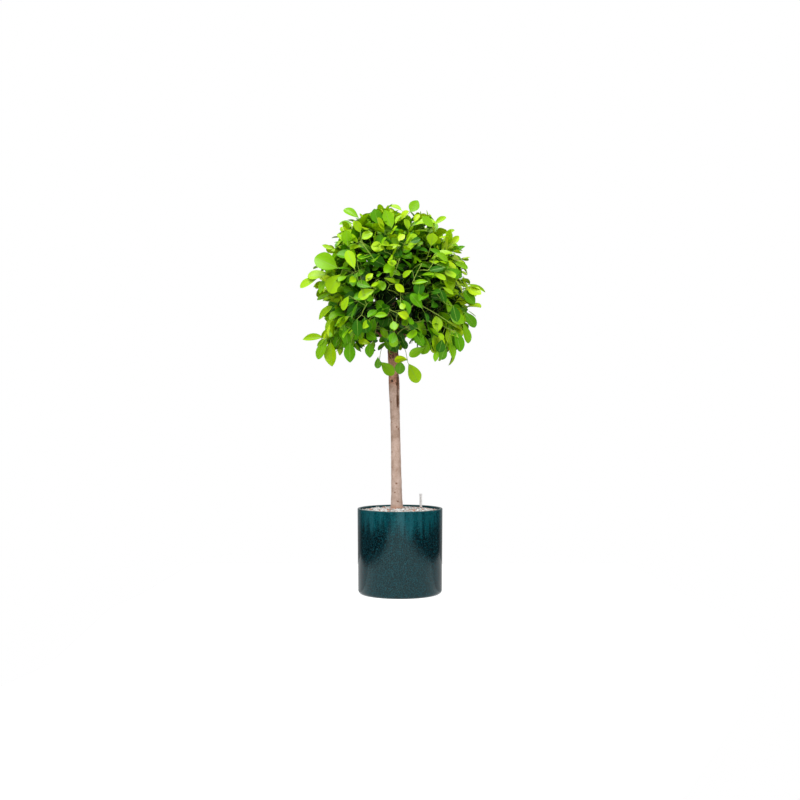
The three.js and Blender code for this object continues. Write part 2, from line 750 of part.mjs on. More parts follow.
function tree() {
  const plant = new THREE.Group();
  const trunkClearance = trunkSolid(GAP);
  plant.add(mesh('trunk', toGeometry(trunkSolid()), BARK, TRUNK_FOOT));

  const crown = crownMasses();
  const hanging = HANGING.map(hangingMass);
  const masses = [...crown, ...hanging];
  for (const height of TRUNK_GUARD_HEIGHTS) {
    limbBalls.push({ centre: trunkCentre(height), radius: TRUNK_GUARD_RADIUS });
  }
  for (const mass of crown) {
    const bough = toGeometry(growBough(mass, trunkClearance));
    plant.add(mesh(`bough_${mass.label}`, bough, YOUNG_BARK, trunkCentre(mass.ring.rootHeight)));
  }
  for (const mass of crown) {
    mass.twigs = [];
    mass.blades = [];
    mass.wood = [stemSolid(mass), heart(mass, masses)];
  }
  growTwigs(masses, crown);
  growShoots(crown);
  for (const mass of crown) mass.twigs.forEach((twig) => leafUp(mass, masses, twig));
  for (const mass of hanging) growHanging(mass, masses, trunkClearance);
  masses.forEach((mass, index) => {
    const leaves = toGeometry(fuseMass(mass));
    const green = new THREE.MeshStandardMaterial({
      color: LEAF_GREENS[index % LEAF_GREENS.length], roughness: 0.45, metalness: 0,
    });
    plant.add(mesh(`foliage_${mass.label}`, leaves, green, mass.seed));
  });
  return plant;
}

const group = new THREE.Group();
group.add(pottedBase(), tree());

export default group;
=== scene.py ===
import math
import random

import bpy
import numpy as np
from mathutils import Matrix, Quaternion, Vector


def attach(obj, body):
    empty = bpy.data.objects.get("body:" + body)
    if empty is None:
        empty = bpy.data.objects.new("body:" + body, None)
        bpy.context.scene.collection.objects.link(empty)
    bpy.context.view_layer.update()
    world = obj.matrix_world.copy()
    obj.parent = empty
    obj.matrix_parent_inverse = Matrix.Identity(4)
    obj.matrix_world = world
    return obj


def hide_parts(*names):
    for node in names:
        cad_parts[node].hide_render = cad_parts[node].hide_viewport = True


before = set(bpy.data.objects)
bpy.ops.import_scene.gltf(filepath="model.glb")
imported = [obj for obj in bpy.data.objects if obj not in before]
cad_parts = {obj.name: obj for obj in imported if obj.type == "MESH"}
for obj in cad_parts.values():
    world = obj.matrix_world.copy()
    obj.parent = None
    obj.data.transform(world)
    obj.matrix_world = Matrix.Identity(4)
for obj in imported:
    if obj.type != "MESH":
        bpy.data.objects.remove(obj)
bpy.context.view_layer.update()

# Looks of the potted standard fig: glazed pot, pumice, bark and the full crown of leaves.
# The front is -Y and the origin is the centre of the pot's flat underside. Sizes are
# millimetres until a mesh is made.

MM = 0.001
UP = Vector((0, 0, 1))

# Camera and softboxes, in metres and watts. A softbox has a name, its place, the place it points
# at, its size, its power, and whether it shows in glossy surfaces.
CAMERA_PLACE = (0, -5.15, 0.795)
CAMERA_LENS = 56.25
SOFTBOXES = [
    ("key", (-0.9, -1.4, 4.1), (0, 0, 1.2), (2.0, 2.0), 142, True),
    ("fill", (2.6, -2.6, 1.6), (0, 0, 0.8), (1.8, 2.4), 70, False),
    ("left fill", (-2.8, -2.4, 1.1), (0, 0, 0.7), (1.8, 2.2), 50, False),
]

# The room around, as where along a direction's height or depth each brightness sets in and is
# full, and its strength at both. The glaze mirrors the small front wall.
SKY = (0.02, 0.35, 0.04, 0.75)
BACK_WALL = (0.55, 0.9, 0, 0.4)
FRONT_WALL = (-0.97, -0.99, 0, 1.2)

# The paper under the pot: its outline in metres, how far it lies below the foot, and its glow
PAPER_LEFT = [
    (-1, 0.9), (-1.05, 0), (-1.1, -0.4), (-1.05, -1.4), (-1.2, -2.2), (-0.35, -3.2), (-0.35, -4.6)]
PAPER_RIGHT = [
    (0.4, -4.6), (0.5, -2.8), (0.85, -2), (1.1, -1.3), (1.2, -0.6), (1.15, 0), (1.1, 0.9)]
PAPER_DROP = 0.0005
PAPER_GLOW = 0.85
FAR_PAPER_GLOW = 0.2

# Pot
POT_HEIGHT = 350
POT_TOP_RADIUS = 175
POT_FOOT_RADIUS = 172.5
POT_WALL = 12
POT_FOOT_ROUNDING = 14
POT_RIM_ROUNDING = 3
POT_FLOOR = 14
POT_SIDES = 128

# Filling: level round the trunk as far as FILL_LEVEL_RADIUS, then falling to the wall
FILL_RADIUS = 162.5
FILL_BOTTOM = 280
FILL_MESH_TOP = 340
FILL_SIDES = 64
FILL_RINGS = 5
FILL_RING_WIDTH = 26
FILL_TOP = 348
FILL_AT_WALL = 339
FILL_LEVEL_RADIUS = 44
FILL_SLOPE_WIDTH = 118
SOIL_BELOW = 4
STONE_COUNT = 1500
STONE_KINDS = 8
STONE_SIZE = 5.2
STONE_SIZES = (0.55, 1.25)
STONE_STRETCH = (0.7, 1.25)
STONE_LUMP = 0.13
STONE_SPREAD = 160
STONE_STRAY = 1.5
STONE_BELOW = 3
STONE_RISE = (-2, 2.2)

# Gauge
GAUGE_PLACE = (87, 80)
GAUGE_FOOT = 335
GAUGE_TOP = 403
GAUGE_SIDES = 32
GAUGE_RADIUS = 5
GAUGE_CAP_HEIGHT = 5
GAUGE_CAP_WIDENING = 1.14
GAUGE_ROUNDING = 0.8

# Trunk, as in the solids: radius at heights above its flat cut
TRUNK_FOOT = Vector((-13, 0, 348.3))
TRUNK_HEAD = Vector((-32, 0, 1075))
TRUNK_SWAY = 2.5
TRUNK_PROFILE = [
    (27.5, 0), (25.2, 14), (23.8, 34), (22.6, 60), (21.6, 130), (20.2, 220), (19.8, 290),
    (19.6, 360), (20.2, 410), (21.2, 450), (22.6, 495), (23, 515), (21.4, 545), (20.8, 560),
    (21.8, 615), (22.8, 650), (22.4, 690), (20, 716), (10, 725),
]
BOUGH_STEPS = 12
BARK_VOXEL = 2.7
BARK_RELIEF = 2.2
BARK_RELIEF_SIZE = 20

# Burrs on the trunk as height, turn and radius, each sunk from BURR_OUT by a share of its radius
BURRS = [
    (876, -100, 5), (868, -70, 4), (884, -128, 4.5), (862, -30, 4), (890, -50, 4), (872, 20, 4.5),
    (866, 150, 4), (884, 95, 4), (964, -60, 4), (972, -120, 4.5), (980, 10, 4), (975, 80, 5),
    (968, 160, 4), (986, -100, 4), (992, -40, 4), (700, 60, 3.5), (560, -160, 3),
]
BURR_OUT = 21.5
BURR_SINK = 0.3

# Marks on the bark's front: pores as (across, up), then the knot, painted shade in its hole, and
# the dark streak. A mark has its centre, its reach each way, its strength and its colour.
PORES = [
    (-37, 787), (-35, 704), (-13, 684), (-7, 676), (-33, 581), (-33, 519), (-15, 453), (-21, 416),
    (-9, 379)]
PORE_DEPTH = -20
PORE_REACH = (4.4, 14, 3.4)
PORE_BROWN = (0.17, 0.07, 0.03, 1)
KNOT_BROWN = (0.2, 0.09, 0.05, 1)
STREAK_BROWN = (0.085, 0.032, 0.012, 1)
HOLE_PAINTED_SHADE = (0.02, 0.01, 0.006, 1)
BARK_MARKS = [((x, PORE_DEPTH, z), PORE_REACH, 0.95, PORE_BROWN) for x, z in PORES]
BARK_MARKS += [
    ((-33, -22, 872), (9, 16, 8), 0.6, KNOT_BROWN),
    # Painted shade where the knot's hole goes in; no hollow is modelled
    ((-33, -24, 873), (5, 12, 5), 1, HOLE_PAINTED_SHADE),
    ((-12, -17, 862), (7, 16, 9), 0.9, STREAK_BROWN),
    ((-10.5, -15, 850), (4.6, 20, 50), 0.8, STREAK_BROWN),
    ((-10, -15, 790), (5.4, 20, 34), 1, STREAK_BROWN),
    ((-14, -22, 886), (6, 14, 4), 0.6, KNOT_BROWN),
    ((-42, -12, 866), (5, 16, 6), 0.5, KNOT_BROWN),
]

# Crown outline: a dome over a straighter skirt, hollowed underneath
CROWN = Vector((-29, 0, 1272))
CROWN_RADIUS = 326
CROWN_RISE = 336
CROWN_DROP = 318
DOME_POWER = 1.85
SKIRT_POWER = 6
UNDERSIDE_HEIGHT = 1030
UNDERSIDE_FALL = 0.26

# Heights at which leaves end: before the trunk, and lower further than a distance across from it
SKIRT_FRONT = 995
SKIRT_SIDES = 945
SKIRT_FALL = 0.4
SKIRT_FRONT_WIDTH = 70

# Masses of leaves in rings, and where their boughs leave the trunk's head
RINGS = [
    dict(name="lower", count=7, turn=270, radius=205, height=1118, root_radius=8.5,
         root_height=1038, root_out=8, spread=0.3, climb=0.15, enter=0.48),
    dict(name="upper", count=5, turn=270, radius=205, height=1345, root_radius=6.8,
         root_height=1060, root_out=17.5, spread=0.3, climb=0.57, enter=0.6),
    dict(name="top", count=1, turn=0, radius=0, height=1495, root_radius=8,
         root_height=1062, root_out=0, spread=0.05, climb=0.5, enter=0.72),
]
BOUGH_TIP_RADIUS = 4.6
STEM_TIP_RADIUS = 3

# Branches, sprigs and inner twigs: how many there are, how far inside the outline they end, how
# far above the underside, how much they arch, and how far chance moves them
BRANCH_COUNT = 94
BRANCH_START = 14
BRANCH_AIM_INSET = 44
BRANCH_INSET = 120
BRANCH_CLEARANCE = 60
BRANCH_ARCH = 0.12
SPRIG_COUNT = 360
SPRIG_INSET = 24
SPRIG_TOP_INSET = 26
SPRIG_DEPTH = 76
SPRIG_CLEARANCE = 10
SPRIG_ARCH = 0.14
INNER_COUNT = 420
INNER_INSET = 115
INNER_CLEARANCE = 40
INNER_ARCH = 0.1
BRANCH_PLAY = 20
INNER_PLAY = 45
SPRAY_FOOT_PLAY = 6
SPRAY_TIP_PLAY = 14
SPRAY_STALK_FROM = 4
GOLDEN_ANGLE = math.pi * (3 - math.sqrt(5))
SEED = 5

LEAF_LENGTH = 60
LEAF_SPREAD = 13
BIG_LEAF_SHARE = 0.09
BIG_LEAF_LENGTHS = (76, 94)
LEAF_SPACING = 25
INNER_LEAF_SPACING = 24
LEAFY_LENGTH = 95
STALK_LENGTH = 11
TIP_LIFT = 45
RIB_LIFT = 0.35
RIB_WIDTHS = (0.016, 0.005)

# Radii of twigs and stalks at foot and tip
BRANCH_RADII = (3, 1.9)
SPRIG_RADII = (2, 1.2)
INNER_RADII = (1.8, 1.1)
STALK_RADII = (0.9, 0.7)
SPRAY_LIMB_RADII = (2.2, 2.2)
HANGER_LIMB_RADII = (2.4, 2.3)
SPRAY_RADII = (1.7, 1)
SPRAY_STALK_RADII = (1, 0.8)

# Leaves stay inside this box. Those placed by rule also keep out of these bites, each a centre
# and a radius.
LEAF_BOX = ((-436, -345, 850), (380, 345, 1650))
HOLLOWS = [
    ((-430, -20, 1150), 142), ((-330, -20, 1470), 75), ((290, 0, 1480), 75),
    ((130, 0, 1640), 85), ((390, 0, 1365), 125), ((30, -345, 1250), 92),
    ((-92, -60, 985), 42), ((28, -60, 1010), 34)]

# Gaps that show the sky from the front, as across, up, half width and half height
SKY_GAPS = [
    (-82, 1000, 34, 76), (28, 1042, 20, 42), (-235, 965, 22, 55), (-130, 975, 26, 45),
    (118, 962, 40, 30), (-345, 1150, 45, 80)]

# Patches of painted light and shade, where leaves are paler or darker than the rest: centre,
# reach and change of level
PAINTED_LIGHT_AND_SHADE_PATCHES = [
    ((-320, -80, 1160), 200, -0.6), ((95, -260, 1160), 150, 0.35), ((70, -220, 1405), 180, -0.4)]

# Leaf levels run from 0, the youngest, to 1, painted shade: lower on top, for younger leaves and
# painted light from above, and higher in front at mid height and inside, as painted shade
LEVEL_BASE = -0.05
TOP_YOUNG_AND_PAINTED_LIGHT = 0.12
FRONT_PAINTED_SHADE = 0.58
INSIDE_PAINTED_SHADE = (0.58, 0.42)
SHADE_DEPTH = 125

MASS_NAMES = [ring["name"] + (f"_{i + 1}" if ring["count"] > 1 else "")
              for ring in RINGS for i in range(ring["count"])]
FOLIAGE_NODES = [f"foliage_{name}" for name in MASS_NAMES + ["hanging_left", "hanging_right"]]
BARK_NODES = ["trunk"] + [f"bough_{name}" for name in MASS_NAMES]

rng = random.Random(SEED)


def vary(amount):
    return rng.uniform(-amount, amount)


def lerp(a, b, t):
    return a + (b - a) * t


def clamp(value):
    return min(1, max(0, value))


def flat_direction(degrees):
    angle = math.radians(degrees)
    return Vector((math.cos(angle), math.sin(angle), 0))


def linear(red, green, blue):
    """A screen colour of 0 to 255 as a linear RGBA value."""
    parts = [c / 255 for c in (red, green, blue)]
    return tuple(c / 12.92 if c <= 0.04045 else ((c + 0.055) / 1.055) ** 2.4 for c in parts) + (1,)


# Nodes

GREY = (0.5, 0.5, 0.5, 1)


class Nodes:
    """A node tree under way: nodes are added here and linked by the names of their sockets."""

    def __init__(self, tree):
        self.nodes = tree.nodes
        self.links = tree.links

    def put(self, value, socket):
        """Links a node's output to a socket, or sets the socket to a plain value."""
        if isinstance(value, bpy.types.NodeSocket):
            self.links.new(value, socket)
        else:
            socket.default_value = value

    def add(self, kind, **sockets):
        node = self.nodes.new("ShaderNode" + kind)
        for name, value in sockets.items():
            self.put(value, node.inputs[name])
        return node

    def steps(self, value, low, high, to_low=0, to_high=1):
        """A smooth change of strength as a value runs from low to high."""
        node = self.add("MapRange", **{
            "Value": value, "From Min": low, "From Max": high, "To Min": to_low, "To Max": to_high})
        node.interpolation_type = "SMOOTHSTEP"
        return node.outputs[0]

    def maths(self, operation, a, b):
        node = self.add("Math")
        node.operation = operation
        self.put(a, node.inputs[0])
        self.put(b, node.inputs[1])
        return node.outputs[0]


def plain(name, colour, roughness, **values):
    """A plain Principled finish, with further sockets named by their labels in lower case."""
    material = bpy.data.materials.new(name)
    material.use_nodes = True
    shader = material.node_tree.nodes["Principled BSDF"]
    shader.inputs["Base Color"].default_value = colour
    shader.inputs["Roughness"].default_value = roughness
    for label, value in values.items():
        shader.inputs[label.replace("_", " ").title().replace("Ior", "IOR")].default_value = value
    return material


# Camera, lights and floor

def add_camera():
    bpy.ops.object.camera_add(location=CAMERA_PLACE, rotation=(math.radians(90), 0, 0))
    camera = bpy.context.object
    camera.data.lens = CAMERA_LENS
    bpy.context.scene.camera = camera


def add_softbox(name, place, aim, size, power, mirrored):
    data = bpy.data.lights.new(name, "AREA")
    data.shape = "RECTANGLE"
    data.size, data.size_y = size
    data.energy = power
    light = bpy.data.objects.new(name, data)
    light.visible_glossy = mirrored
    light.location = place
    light.rotation_euler = (Vector(aim) - Vector(place)).to_track_quat("-Z", "Y").to_euler()
    bpy.context.collection.objects.link(light)


def add_world():
    """White to the camera; otherwise a soft sky, a pale wall behind and a bright one in front."""
    world = bpy.data.worlds.new("studio")
    bpy.context.scene.world = world
    world.use_nodes = True
    world.node_tree.nodes.clear()
    tree = Nodes(world.node_tree)
    direction = tree.add("SeparateXYZ", Vector=tree.add("TexCoord").outputs["Generated"])
    strength = tree.steps(direction.outputs["Z"], *SKY)
    for wall in (BACK_WALL, FRONT_WALL):
        strength = tree.maths("MAXIMUM", strength, tree.steps(direction.outputs["Y"], *wall))
    room = tree.add("Background", Strength=strength)
    seen = tree.add("Background", Color=(1, 1, 1, 1))
    mix = tree.add("MixShader")
    tree.put(tree.add("LightPath").outputs["Is Camera Ray"], mix.inputs[0])
    tree.put(room.outputs[0], mix.inputs[1])
    tree.put(seen.outputs[0], mix.inputs[2])
    tree.put(mix.outputs[0], tree.add("OutputWorld").inputs[0])


def add_floor():
    """Paper whose outline shows as a pale arch in the glaze; it is mirrored dimmer at the back."""
    outline = [(x, y, -PAPER_DROP) for x, y in PAPER_LEFT + PAPER_RIGHT]
    last = len(outline) - 1
    mesh = bpy.data.meshes.new("floor")
    mesh.from_pydata(outline, [], [list(range(1, last)), [0, 1, last - 1, last]])
    floor = bpy.data.objects.new("floor", mesh)
    bpy.context.collection.objects.link(floor)
    for name in ("paper", "far_paper"):
        paper = plain(name, GREY, 0.8, emission_color=(1, 1, 1, 1), emission_strength=PAPER_GLOW)
        mesh.materials.append(paper)
    mesh.polygons[1].material_index = 1
    tree = Nodes(paper.node_tree)
    seen = tree.add("LightPath").outputs["Is Camera Ray"]
    glow = tree.steps(seen, 0, 1, FAR_PAPER_GLOW, PAPER_GLOW)
    tree.put(glow, tree.nodes["Principled BSDF"].inputs["Emission Strength"])


# Materials

class Finish(Nodes):
    """A material under way, with patterns that lie still on the object."""

    def __init__(self, name, roughness, **values):
        self.material = plain(name, GREY, roughness, **values)
        super().__init__(self.material.node_tree)
        self.shader = self.nodes["Principled BSDF"]
        self.place = self.add("TexCoord").outputs["Object"]

    def stretched(self, scale, offset=(0, 0, 0)):
        return self.add("Mapping", Vector=self.place, Scale=scale, Location=offset).outputs[0]

    def noise(self, scale, detail, roughness, vector=None):
        node = self.add("TexNoise", Vector=vector or self.place, Scale=scale, Detail=detail,
                        Roughness=roughness)
        return node.outputs["Fac"]

    def cells(self, scale, vector=None, output="Distance", feature="F1"):
        node = self.add("TexVoronoi", Vector=vector or self.place, Scale=scale)
        node.feature = feature
        return node.outputs[output]

    def axis(self, name, vector=None):
        return self.add("SeparateXYZ", Vector=vector or self.place).outputs[name]

    def shift(self, noise, amount):
        """A noise of 0 to 1 as a shift down or up."""
        return self.maths("MULTIPLY", self.maths("SUBTRACT", noise, 0.5), amount)

    def mix(self, mask, a, b):
        node = self.add("Mix")
        node.data_type = "RGBA"
        sockets = {s.identifier: s for s in (*node.inputs, *node.outputs)}
        self.put(mask, sockets["Factor_Float"])
        self.put(a, sockets["A_Color"])
        self.put(b, sockets["B_Color"])
        return sockets["Result_Color"]

    def layers(self, colour, *rows):
        """Mixes screen colours in, each up to a share as its value runs from none to full."""
        for value, none, full, share, screen in rows:
            colour = self.mix(self.steps(value, none, full, 0, share), colour, linear(*screen))
        return colour

    def spot(self, colour, ragged, centre, radii, strength, brown):
        """Mixes in a ragged spot round a place, in millimetres."""
        scale = [1 / (r * MM) for r in radii]
        far = self.add("VectorMath")
        far.operation = "LENGTH"
        self.put(self.stretched(scale, [-c / r for c, r in zip(centre, radii)]), far.inputs[0])
        away = self.maths("ADD", far.outputs["Value"], ragged)
        return self.mix(self.steps(away, 1.1, 0.7, 0, strength), colour, brown)

    def bump(self, height, strength, distance):
        node = self.add("Bump", Height=height, Strength=strength, Distance=distance)
        self.put(node.outputs[0], self.shader.inputs["Normal"])

    def colour(self, output):
        self.put(output, self.shader.inputs["Base Color"])
        return self.material


def glaze_material():
    """Petrol-teal glaze: bright under the rim, running down in streaks to a darker, pitted body."""
    glaze = Finish("petrol glaze", 0.12, specular_ior_level=0.32, specular_tint=(0.55, 0.95, 1, 1))
    height = glaze.axis("Z")
    runs = glaze.noise(1, 4, 0.65, glaze.stretched((70, 70, 4)))
    broad = glaze.noise(1, 3, 0.5, glaze.stretched((15, 15, 3)))
    fall = glaze.maths("ADD", height, glaze.shift(runs, 0.2))
    fall = glaze.maths("ADD", fall, glaze.shift(broad, 0.2))
    mottle = glaze.noise(90, 4, 0.7)
    body = glaze.mix(glaze.steps(mottle, 0.35, 0.65), linear(1, 6, 9), linear(3, 26, 33))
    teal = glaze.mix(glaze.steps(mottle, 0.3, 0.7), linear(3, 47, 54), linear(6, 71, 77))
    bands = glaze.noise(1, 2, 0.5, glaze.stretched((34, 34, 1.5), (5, 2, 0)))
    teal = glaze.layers(
        teal, (bands, 0.5, 0.62, 0.6, (26, 76, 84)), (bands, 0.48, 0.4, 0.7, (1, 44, 52)))
    colour = glaze.mix(glaze.steps(fall, 0.24, 0.34), body, teal)
    streaks = glaze.noise(1, 3, 0.6, glaze.stretched((150, 150, 7), (3, 1, 0)))
    grains = glaze.noise(260, 2, 0.8)
    pits = glaze.cells(330)
    # Streaks, grains and pits, and a lip that is paler than the glaze below it
    colour = glaze.layers(
        colour,
        (streaks, 0.55, 0.72, 0.5, (2, 18, 22)),
        (grains, 0.52, 0.64, 0.48, (24, 84, 92)),
        (grains, 0.46, 0.36, 0.5, (1, 8, 11)),
        (pits, 0.26, 0.12, 0.35, (86, 72, 56)),
        (height, 0.3476, 0.3486, 0.6, (70, 88, 84)))
    glaze.bump(glaze.noise(300, 3, 0.75), 0.1, 0.0012)
    glaze.put(glaze.steps(mottle, 0.3, 0.7, 0.03, 0.07), glaze.shader.inputs["Roughness"])
    return glaze.colour(colour)


def bark_material():
    """Smooth pinkish-brown bark with small brown pores, scaly at the burr and the swollen head."""
    bark = Finish("smooth bark", 0.72)
    height = bark.axis("Z")
    grain = bark.noise(1, 5, 0.6, bark.stretched((110, 110, 26)))
    patches = bark.noise(26, 3, 0.55)
    colour = bark.mix(
        bark.steps(patches, 0.35, 0.65), linear(152, 127, 111), linear(183, 159, 145))
    pores = bark.cells(1, bark.stretched((90, 90, 62)))
    flecks = bark.noise(260, 3, 0.75)
    wander = bark.maths("ADD", height, bark.shift(patches, 0.12))
    # Paler low down, stained at the stones, with grain, pores and flecks, and warmer at the top,
    # where the bark's warmer colour carries painted light that offsets the crown's shadow
    colour = bark.layers(
        colour,
        (height, 0.66, 0.4, 0.4, (206, 184, 172)),
        (height, 0.368, 0.352, 0.45, (178, 118, 80)),
        (grain, 0.5, 0.75, 0.45, (142, 106, 82)),
        (pores, 0.14, 0.07, 0.7, (126, 84, 58)),
        (flecks, 0.5, 0.64, 0.45, (122, 84, 62)),
        (flecks, 0.42, 0.32, 0.4, (214, 190, 174)),
        (wander, 0.83, 0.89, 0.75, (214, 154, 124)))
    # Brown flecks on the burr, and a dark, speckled head
    burr = bark.maths(
        "MULTIPLY", bark.steps(wander, 0.845, 0.862), bark.steps(wander, 0.91, 0.893, 0, 0.75))
    burr = bark.maths("MULTIPLY", burr, bark.steps(flecks, 0.47, 0.53))
    colour = bark.mix(burr, colour, linear(112, 66, 42))
    colour = bark.layers(colour, (wander, 0.962, 0.99, 1, (140, 90, 66)))
    specks = bark.maths(
        "MULTIPLY", bark.steps(bark.cells(130), 0.5, 0.35), bark.steps(wander, 0.945, 0.975))
    colour = bark.mix(specks, colour, linear(58, 32, 22))
    scales = bark.cells(1, bark.stretched((190, 190, 120)), feature="DISTANCE_TO_EDGE")
    cracks = bark.maths(
        "MULTIPLY", bark.steps(scales, 0.12, 0.02), bark.steps(wander, 0.83, 0.9, 0, 0.6))
    colour = bark.mix(cracks, colour, linear(74, 42, 28))
    ragged = bark.shift(bark.noise(160, 3, 0.7), 1.6)
    for mark in BARK_MARKS:
        colour = bark.spot(colour, ragged, *mark)
    bark.bump(grain, 0.5, 0.002)
    return bark.colour(colour)


def pumice_material():
    """Grey stones, each of its own shade, with some brown ones and a few dark ones."""
    stone = Finish("pumice", 0.92)
    chance = stone.cells(95, output="Color")
    shade = stone.steps(stone.axis("X", chance), 0, 1)
    colour = stone.mix(shade, linear(156, 155, 152), linear(230, 229, 226))
    colour = stone.layers(
        colour,
        (stone.axis("Y", chance), 0.78, 0.82, 0.9, (178, 112, 76)),
        (stone.axis("Z", chance), 0.88, 0.92, 0.8, (92, 90, 88)))
    stone.bump(stone.noise(900, 3, 0.7), 0.6, 0.001)
    return stone.colour(colour)


def gauge_material():
    """Pale plastic with faint bands, stained where it goes into the stones."""
    tube = Finish("pale plastic", 0.25)
    bands = tube.noise(1, 2, 0.5, tube.stretched((40, 40, 160)))
    colour = tube.mix(
        tube.steps(bands, 0.4, 0.6, 0, 0.5), linear(248, 247, 245), linear(214, 213, 211))
    return tube.colour(tube.layers(colour, (tube.axis("Z"), 0.349, 0.345, 1, (150, 70, 44))))


# Working with pieces

def make_active(thing):
    for other in bpy.context.selected_objects:
        other.select_set(False)
    thing.select_set(True)
    bpy.context.view_layer.objects.active = thing


class Batch:
    """Small shapes in millimetres, joined into one mesh."""

    def __init__(self):
        self.points, self.faces, self.count = [], [], 0

    def add(self, points, faces):
        self.points.append(points)
        self.faces += [[corner + self.count for corner in face] for face in faces]
        self.count += len(points)

    def piece(self, name):
        data = bpy.data.meshes.new(name)
        data.from_pydata((np.concatenate(self.points) * MM).tolist(), [], self.faces)
        data.shade_smooth()
        piece = bpy.data.objects.new(name, data)
        bpy.context.collection.objects.link(piece)
        return piece


def dress(piece, material, nodes):
    piece.data.materials.clear()
    piece.data.materials.append(material)
    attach(piece, "root")
    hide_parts(*nodes)


def limbs_piece(name, limbs, rings):
    """Tapering round limbs, each a list of (point, radius), as one mesh."""
    curve = bpy.data.curves.new(name, "CURVE")
    curve.dimensions = "3D"
    curve.bevel_depth = MM
    curve.bevel_resolution = rings
    curve.use_fill_caps = True
    for points in limbs:
        spline = curve.splines.new("POLY")
        spline.points.add(len(points) - 1)
        for knot, (point, radius) in zip(spline.points, points):
            knot.co = (*(point * MM), 1)
            knot.radius = radius
    piece = bpy.data.objects.new(name, curve)
    bpy.context.collection.objects.link(piece)
    make_active(piece)
    bpy.ops.object.convert(target="MESH")
    piece = bpy.context.object
    bpy.ops.object.shade_smooth()
    return piece


def apply_modifiers(piece):
    make_active(piece)
    for modifier in list(piece.modifiers):
        bpy.ops.object.modifier_apply(modifier=modifier.name)


def bevel_edges(piece, width, segments, angle):
    """Rounds the edges at which faces meet by more than an angle, in degrees."""
    bevel = piece.modifiers.new("rounded edges", "BEVEL")
    bevel.limit_method = "ANGLE"
    bevel.angle_limit = math.radians(angle)
    bevel.width = width * MM
    bevel.segments = segments
    apply_modifiers(piece)


# Pot and filling

def select_faces(piece, wanted):
    """Selects the faces for which wanted(centre, normal) holds, and ends in edit mode."""
    bpy.ops.object.mode_set(mode="OBJECT")
    bpy.context.tool_settings.mesh_select_mode = (False, False, True)
    mesh = piece.data
    for group in (mesh.vertices, mesh.edges, mesh.polygons):
        group.foreach_set("select", [False] * len(group))
    for face in mesh.polygons:
        face.select = wanted(face.center, face.normal)
    bpy.ops.object.mode_set(mode="EDIT")


def add_cylinder(name, sides, radius, low, high, place=(0, 0)):
    bpy.ops.mesh.primitive_cylinder_add(
        vertices=sides, radius=radius * MM, depth=(high - low) * MM,
        location=(place[0] * MM, place[1] * MM, (low + high) * MM / 2), end_fill_type="NGON")
    piece = bpy.context.object
    piece.name = name
    bpy.ops.object.transform_apply(location=True, rotation=True, scale=True)
    return piece


def extrude(rise):
    bpy.ops.mesh.extrude_region_move(TRANSFORM_OT_translate={"value": (0, 0, rise * MM)})


def add_pot():
    pot = add_cylinder("glazed_pot", POT_SIDES, POT_TOP_RADIUS, 0, POT_HEIGHT)
    narrow = POT_FOOT_RADIUS / POT_TOP_RADIUS
    select_faces(pot, lambda centre, normal: normal.z < -0.5)
    bpy.ops.transform.resize(value=(narrow, narrow, 1))
    bpy.ops.mesh.bevel(offset=POT_FOOT_ROUNDING * MM, segments=6, affect="EDGES")
    select_faces(pot, lambda centre, normal: normal.z > 0.9 and centre.z > 0.3)
    bpy.ops.mesh.inset(thickness=POT_WALL * MM)
    extrude(POT_FLOOR - POT_HEIGHT)
    bpy.ops.object.mode_set(mode="OBJECT")
    bevel_edges(pot, POT_RIM_ROUNDING, 3, 50)
    bpy.ops.object.shade_smooth_by_angle(angle=math.radians(35))
    even = pot.modifiers.new("even shading", "WEIGHTED_NORMAL")
    even.weight = 100
    even.keep_sharp = True
    apply_modifiers(pot)
    dress(pot, glaze_material(), ["pot"])


def fill_height(radius):
    """The filling is lowest at the wall and rises towards the trunk."""
    return lerp(FILL_TOP, FILL_AT_WALL, clamp((radius - FILL_LEVEL_RADIUS) / FILL_SLOPE_WIDTH))


def add_filling():
    """A mound under a layer of small uneven stones."""
    mound = add_cylinder("filling", FILL_SIDES, FILL_RADIUS, FILL_BOTTOM, FILL_MESH_TOP)
    select_faces(mound, lambda centre, normal: normal.z > 0.5)
    for _ in range(FILL_RINGS):
        bpy.ops.mesh.inset(thickness=FILL_RING_WIDTH * MM)
    bpy.ops.object.mode_set(mode="OBJECT")
    for vertex in mound.data.vertices:
        if vertex.co.z > (FILL_BOTTOM + FILL_MESH_TOP) * MM / 2:
            radius = math.hypot(vertex.co.x, vertex.co.y) / MM
            vertex.co.z = (fill_height(radius) - SOIL_BELOW) * MM
    dress(mound, plain("damp earth", linear(58, 47, 38), 0.95), ["soil"])

    bpy.ops.mesh.primitive_ico_sphere_add(subdivisions=2, radius=1)
    ball = bpy.context.object
    shape = np.array([v.co for v in ball.data.vertices])
    faces = [list(p.vertices) for p in ball.data.polygons]
    bpy.data.objects.remove(ball)
    chance = np.random.default_rng(SEED)
    kinds = []
    for _ in range(STONE_KINDS):
        lumps = shape + chance.normal(0, STONE_LUMP, shape.shape)
        kinds.append(lumps * chance.uniform(*STONE_STRETCH, 3))
    stones = Batch()
    for index in range(STONE_COUNT):
        radius = STONE_SPREAD * math.sqrt((index + 0.5) / STONE_COUNT)
        turn = index * GOLDEN_ANGLE
        size = STONE_SIZE * chance.uniform(*STONE_SIZES)
        spin = Quaternion(chance.normal(0, 1, 4)).normalized().to_matrix()
        stone = kinds[index % len(kinds)] @ np.array(spin) * size
        place = (math.cos(turn) * radius + chance.normal(0, STONE_STRAY),
                 math.sin(turn) * radius + chance.normal(0, STONE_STRAY),
                 fill_height(radius) - STONE_BELOW + chance.uniform(*STONE_RISE))
        if math.hypot(place[0], place[1]) <= STONE_SPREAD - size:
            stones.add(stone + np.array(place), faces)
    dress(stones.piece("granules_loose"), pumice_material(), ["granules"])


